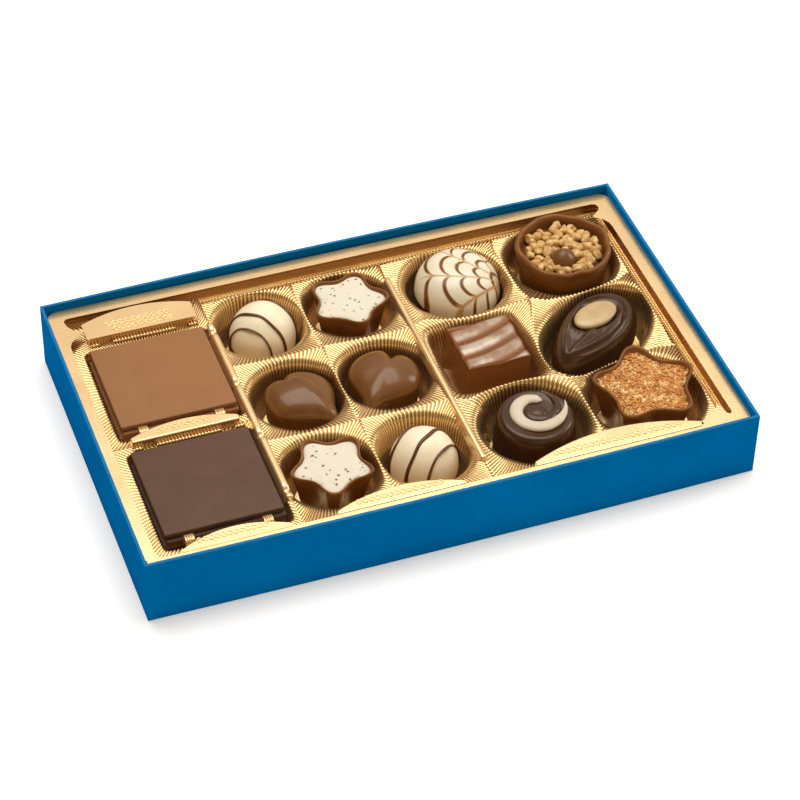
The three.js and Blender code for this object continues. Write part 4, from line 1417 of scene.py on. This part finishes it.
def square_block(u, v):
    """Folds the unit square over the block."""
    p, q = 2 * u - 1, 2 * v - 1
    far = np.maximum(np.abs(p), np.abs(q))
    flat = np.minimum(far, TOP_SHARE) / np.maximum(far, 1e-9) / TOP_SHARE
    x, y = p * flat * SQUARE["half"], q * flat * SQUARE["half"]
    down = np.clip((far - TOP_SHARE) / (1 - TOP_SHARE), 0, 1)
    edge = SQUARE["top"] + comb_wave(x, y)
    soft = 0.45 * step_up(far, TOP_SHARE - 0.06, TOP_SHARE) * (down <= 0)
    z = edge - soft + (SEAT - edge) * down
    grow = 1 + SQUARE["flare"] / SQUARE["half"] * down
    return SQUARE["middle"][0] + x * grow, SQUARE["middle"][1] + y * grow, z


def dusted_milk():
    finish = Finish("dusted_milk_chocolate", linear(134, 92, 62), 0.4)
    dust = finish.span(finish.height(), SQUARE["top"] * MM, (SQUARE["top"] + 0.42) * MM)
    patch = finish.span(finish.grain(0.13, 3.0), 0.38, 0.62, 0.25, 1.0)
    silver = finish.math("MULTIPLY", dust, patch)
    silver = finish.math("MULTIPLY", silver, finish.span(finish.grain(5.0, 4.0), 0.25, 0.6, 0.6, 1.0))
    finish.colour(finish.mix(silver, linear(132, 80, 36), linear(196, 182, 164)))
    finish.wire(finish.math("MULTIPLY", silver, 0.45), finish.shader.inputs["Metallic"])
    finish.rough(finish.span(finish.grain(1.0, 3.0), 0.3, 0.7, 0.32, 0.45))
    finish.bump(finish.grain(3.0, 4.0), 0.02, 0.5)
    return finish.material


square = edit(sheet("combed_square", 160, 160, square_block), face_outwards)
# the open underside is closed with one face
edit(square, lambda: bpy.ops.mesh.select_all(action="DESELECT"),
     bpy.ops.mesh.select_non_manifold, bpy.ops.mesh.edge_face_add)
edit(square, face_outwards)
finish_piece(smooth(square, 50), dusted_milk(), "milk_chocolate", "square_praline")

# %% [markdown]
# The almond-shaped praline is dark, with a pale oval nut disc set in a soft dish. Folds run from
# the disc to the pointed end. They are ridges on the same surface, highest half way, so they are
# added to its height as smooth bumps beside straight lines that meet at the point.

# %% Almond praline
ALMOND = dict(middle=(73.6, 1.6), half=21.9, width=11.9, turn=math.radians(39))
DISC = dict(middle=(75.4, 4.6), half=8.8, width=5.4, turn=math.radians(22))
ALMOND_LINE = eased([(0, SEAT), (0.86, SEAT), (0.93, 4), (0.99, 8.5), (1.0, 11.5), (0.97, 14.5),
                     (0.91, 17.0), (0.78, 18.7), (0.45, 19.5), (0, 19.8)])
DISC_LINE = eased([(0, 19.0), (0.9, 19.0), (1.0, 19.6), (1.0, 20.4), (0.92, 21.0), (0.7, 21.35),
                   (0, 21.5)])


def local(x, y, form):
    """Plane point in a form's own directions: along and across."""
    dx, dy = x - form["middle"][0], y - form["middle"][1]
    c, s = math.cos(form["turn"]), math.sin(form["turn"])
    return dx * c + dy * s, dy * c - dx * s


def in_plane(along_it, across_it, form):
    """The way back: from a form's own directions to a point in the plane."""
    c, s = math.cos(form["turn"]), math.sin(form["turn"])
    return (form["middle"][0] + along_it * c - across_it * s,
            form["middle"][1] + along_it * s + across_it * c)


# each fold: its line from the pointed end (along, across), its height and its half width
FOLDS = [
    ([(-18.5, -0.6), (-15, -2.6), (-9, -5.3), (-3, -6.9), (4, -7.3), (12, -5.6)], 1.5, 1.05),
    ([(-18.5, 0.0), (-15, -0.6), (-10, -1.4), (-5, -2.2), (-1, -2.4)], 1.2, 0.95),
    ([(-18.5, 0.6), (-15, 2.8), (-10, 5.4), (-4, 7.2), (3, 7.8), (9, 6.8)], 1.2, 1.0),
]


def almond_shape(u, v):
    """The almond's outline and height, with the folds, a dish for the disc and its collar."""
    angle = 2 * np.pi * u
    r, z = along(ALMOND_LINE, v)
    lengthwise = np.cos(angle)
    broad = 1 + 0.16 * lengthwise
    a = ALMOND["half"] * lengthwise * r
    b = ALMOND["width"] * np.sin(angle) * broad * r
    x, y = in_plane(a, b, ALMOND)
    da, db = local(x, y, DISC)
    ring_at = np.hypot(da / DISC["half"], db / DISC["width"])
    high = step_up(z, 15.0, 17.6)
    folds = 0
    for points, height, thin in FOLDS:
        at, middle = zip(*points)
        ends = step_up(a, at[0] - 0.5, at[0] + 3) * (1 - step_up(a, at[-1] - 4, at[-1]))
        folds = folds + height * ends * bell(b - np.interp(a, at, middle), thin)
    folds = folds + 0.5 * bell(r - 0.84, 0.045)
    collar = 0.9 * bell(ring_at - 1.26, 0.13)
    dish = -0.9 * step_up(-ring_at, -1.15, -0.95)
    return x, y, z + high * (folds + collar + dish)


finish_piece(wrapped("almond_form", 260, 130, almond_shape), dark, "dark_chocolate", "almond_praline")


def pale_nougat():
    finish = Finish("pale_nougat", linear(196, 160, 108), 0.35, Coat_Weight=0.4, Coat_Roughness=0.2)
    tone = finish.span(finish.grain(0.2, 4.0), 0.3, 0.7)
    finish.colour(finish.mix(tone, linear(196, 166, 116), linear(178, 147, 98)))
    finish.bump(finish.grain(1.2, 4.0), 0.06, 0.5)
    return finish.material


def disc_shape(u, v):
    """An oval disc with a rounded edge."""
    angle = 2 * np.pi * u
    r, z = along(DISC_LINE, v)
    x, y = in_plane(DISC["half"] * r * np.cos(angle), DISC["width"] * r * np.sin(angle), DISC)
    return x, y, z


finish_piece(wrapped("nut_disc", 72, 32, disc_shape), pale_nougat(), "pale_nougat", "nut_slice")

# %% [markdown]
# The swirl praline is dark and round, with a white band that winds inwards from a pointed tail.
# The band is a soft roll: a sheet wrapped round the spiral, thin at its tail and rounded off at
# its inner end. The dark form has a lip round its edge and a low roll that follows the band, and
# a small bulb fills the middle, where the roll ends.

# %% Swirl praline
SWIRL = dict(middle=(37.4, -35.6), centre=(38.1, -34.5), top=20.4)
# each roll: where it starts and how far it turns, in degrees, then its radius and half its width
# at shares of its length
WHITE_ROLL = dict(start=14.0, turn=-322.0,
                  radius=[(0, 11.3), (0.08, 9.4), (0.15, 8.1), (0.25, 7.1), (0.42, 6.8),
                          (0.85, 6.9), (1, 5.9)],
                  half=[(0, 0.1), (0.08, 1.0), (0.16, 1.75), (0.27, 2.25), (0.8, 2.25),
                        (0.95, 1.75), (1, 1.2)])
DARK_ROLL = dict(start=62.0, turn=-300.0,
                 radius=[(0, 10.4), (0.15, 8.2), (0.32, 4.9), (0.55, 3.2), (1, 2.4)],
                 half=[(0, 0.6), (0.2, 1.4), (0.45, 2.0), (1, 1.7)])


def roll(name, sizes, height):
    """A soft roll of chocolate along a spiral, round at its inner end."""
    def place(u, v):
        a = 2 * np.pi * v
        t = u ** 0.9
        angle = np.radians(sizes["start"] + sizes["turn"] * t)
        middle = np.interp(t, *zip(*sizes["radius"]))
        half = np.interp(t, *zip(*sizes["half"])) * np.sqrt(np.clip((1.0 - t) / 0.05, 0, 1))
        r = middle + half * np.cos(a)
        z = SWIRL["top"] + height + 0.55 * np.minimum(half, 2.0) * np.sin(a)
        return SWIRL["centre"][0] + r * np.cos(angle), SWIRL["centre"][1] + r * np.sin(angle), z
    return wrapped(name, 240, 20, place)


body = praline("swirl_form", SWIRL["middle"],
               [(0, SEAT), (13.5, SEAT), (14.0, 4), (14.1, 8), (13.6, 14), (13.2, 17.0), (12.8, 18.9),
                (12.0, 20.2), (10.9, 20.7), (9.8, 20.3), (8.8, 20.0), (0, 20.0)],
               lambda a, r, z: (a, r, z + 0.25 * np.sin(a - 1) * step_up(z, 16, 19)),
               columns=160, rows=90)
bulb = praline("bulb", SWIRL["centre"],
               [(0, 19.8), (3.1, 19.9), (3.5, 20.4), (2.8, 21.0), (1.4, 21.35), (0, 21.4)],
               columns=48, rows=20)
body = join("swirl_form", [body, roll("dark_roll", DARK_ROLL, 0.05), bulb])
finish_piece(smooth(body), dark, "dark_chocolate", "swirl_praline")
finish_piece(roll("white_band", WHITE_ROLL, 0.0), band_white, "white_chocolate", "white_swirl")

# %% [markdown]
# The large star cup is filled to the rim with caramel crystals: coarse grains of sugar in many
# tones of amber. A core lies underneath, and thousands of small angular grains are spread on
# it, as turned copies of a few kinds.

# %% Caramel crystals
def caramel():
    finish = Finish("caramel_crystals", linear(200, 128, 66), 0.35, Coat_Weight=0.3,
                    Coat_Roughness=0.3)
    tone = finish.cells(0.75, output="Color")
    split = finish.node("SeparateColor", Color=tone)
    finish.colour(finish.ramp(split.outputs[0], [
        (0.0, linear(188, 116, 50)), (0.35, linear(212, 142, 66)), (0.7, linear(226, 162, 86)),
        (1.0, linear(255, 228, 164))]))
    finish.bump(finish.grain(2.5, 3.0), 0.15, 0.6)
    finish.soften(0.2, 1.5, 0.8, 0.3)
    return finish.material


crystal_finish = caramel()
CRYSTAL = STARS["crystal_star_cup"]
room = CRYSTAL["radius"] - CRYSTAL["wall"]
core = praline("crystal_core", CRYSTAL["middle"],
               [(0, 19.2), (room - 0.5, 19.2), (room, 20.0), (room - 0.6, 20.5), (0, 21.1)],
               lambda a, r, z: (a, r * star(a, CRYSTAL["phase"]), z), columns=100, rows=30)
finish_piece(core, crystal_finish, "caramel_crystals", "crystal_filling")


def grain_kind(name, size, seed):
    """An angular grain: an icosahedron with its points pushed in and out at random."""
    deselect()
    bpy.ops.mesh.primitive_ico_sphere_add(subdivisions=1, radius=size * MM)
    piece = bpy.context.object
    piece.name = name
    p = points_of(piece)
    push = 1 + 0.3 * ripple(*p.T, size, seed)
    put_points(piece, p * push[:, None])
    return piece


GRAINS = 3400
GRAIN_HEIGHT = 20.6

spots = []
for _ in range(GRAINS):
    r, a = math.sqrt(random.random()), random.uniform(0, 2 * math.pi)
    reach = r * (room - 0.25) * star(a, CRYSTAL["phase"])
    x, y = CRYSTAL["middle"][0] + reach * math.cos(a), CRYSTAL["middle"][1] + reach * math.sin(a)
    spots.append((x, y, GRAIN_HEIGHT + 0.7 * (1 - r) + random.uniform(-0.25, 0.35),
                  random.uniform(0.7, 1.25)))
kinds = [grain_kind(f"grain_{k}", 0.38, 2.3 * k) for k in range(6)]
crystals = scatter("crystals", kinds, spots)
finish_piece(crystals, crystal_finish, "caramel_crystals")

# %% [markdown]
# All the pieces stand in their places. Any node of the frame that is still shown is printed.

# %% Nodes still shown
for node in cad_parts.values():
    if not node.hide_render:
        print("still shown:", node.name)
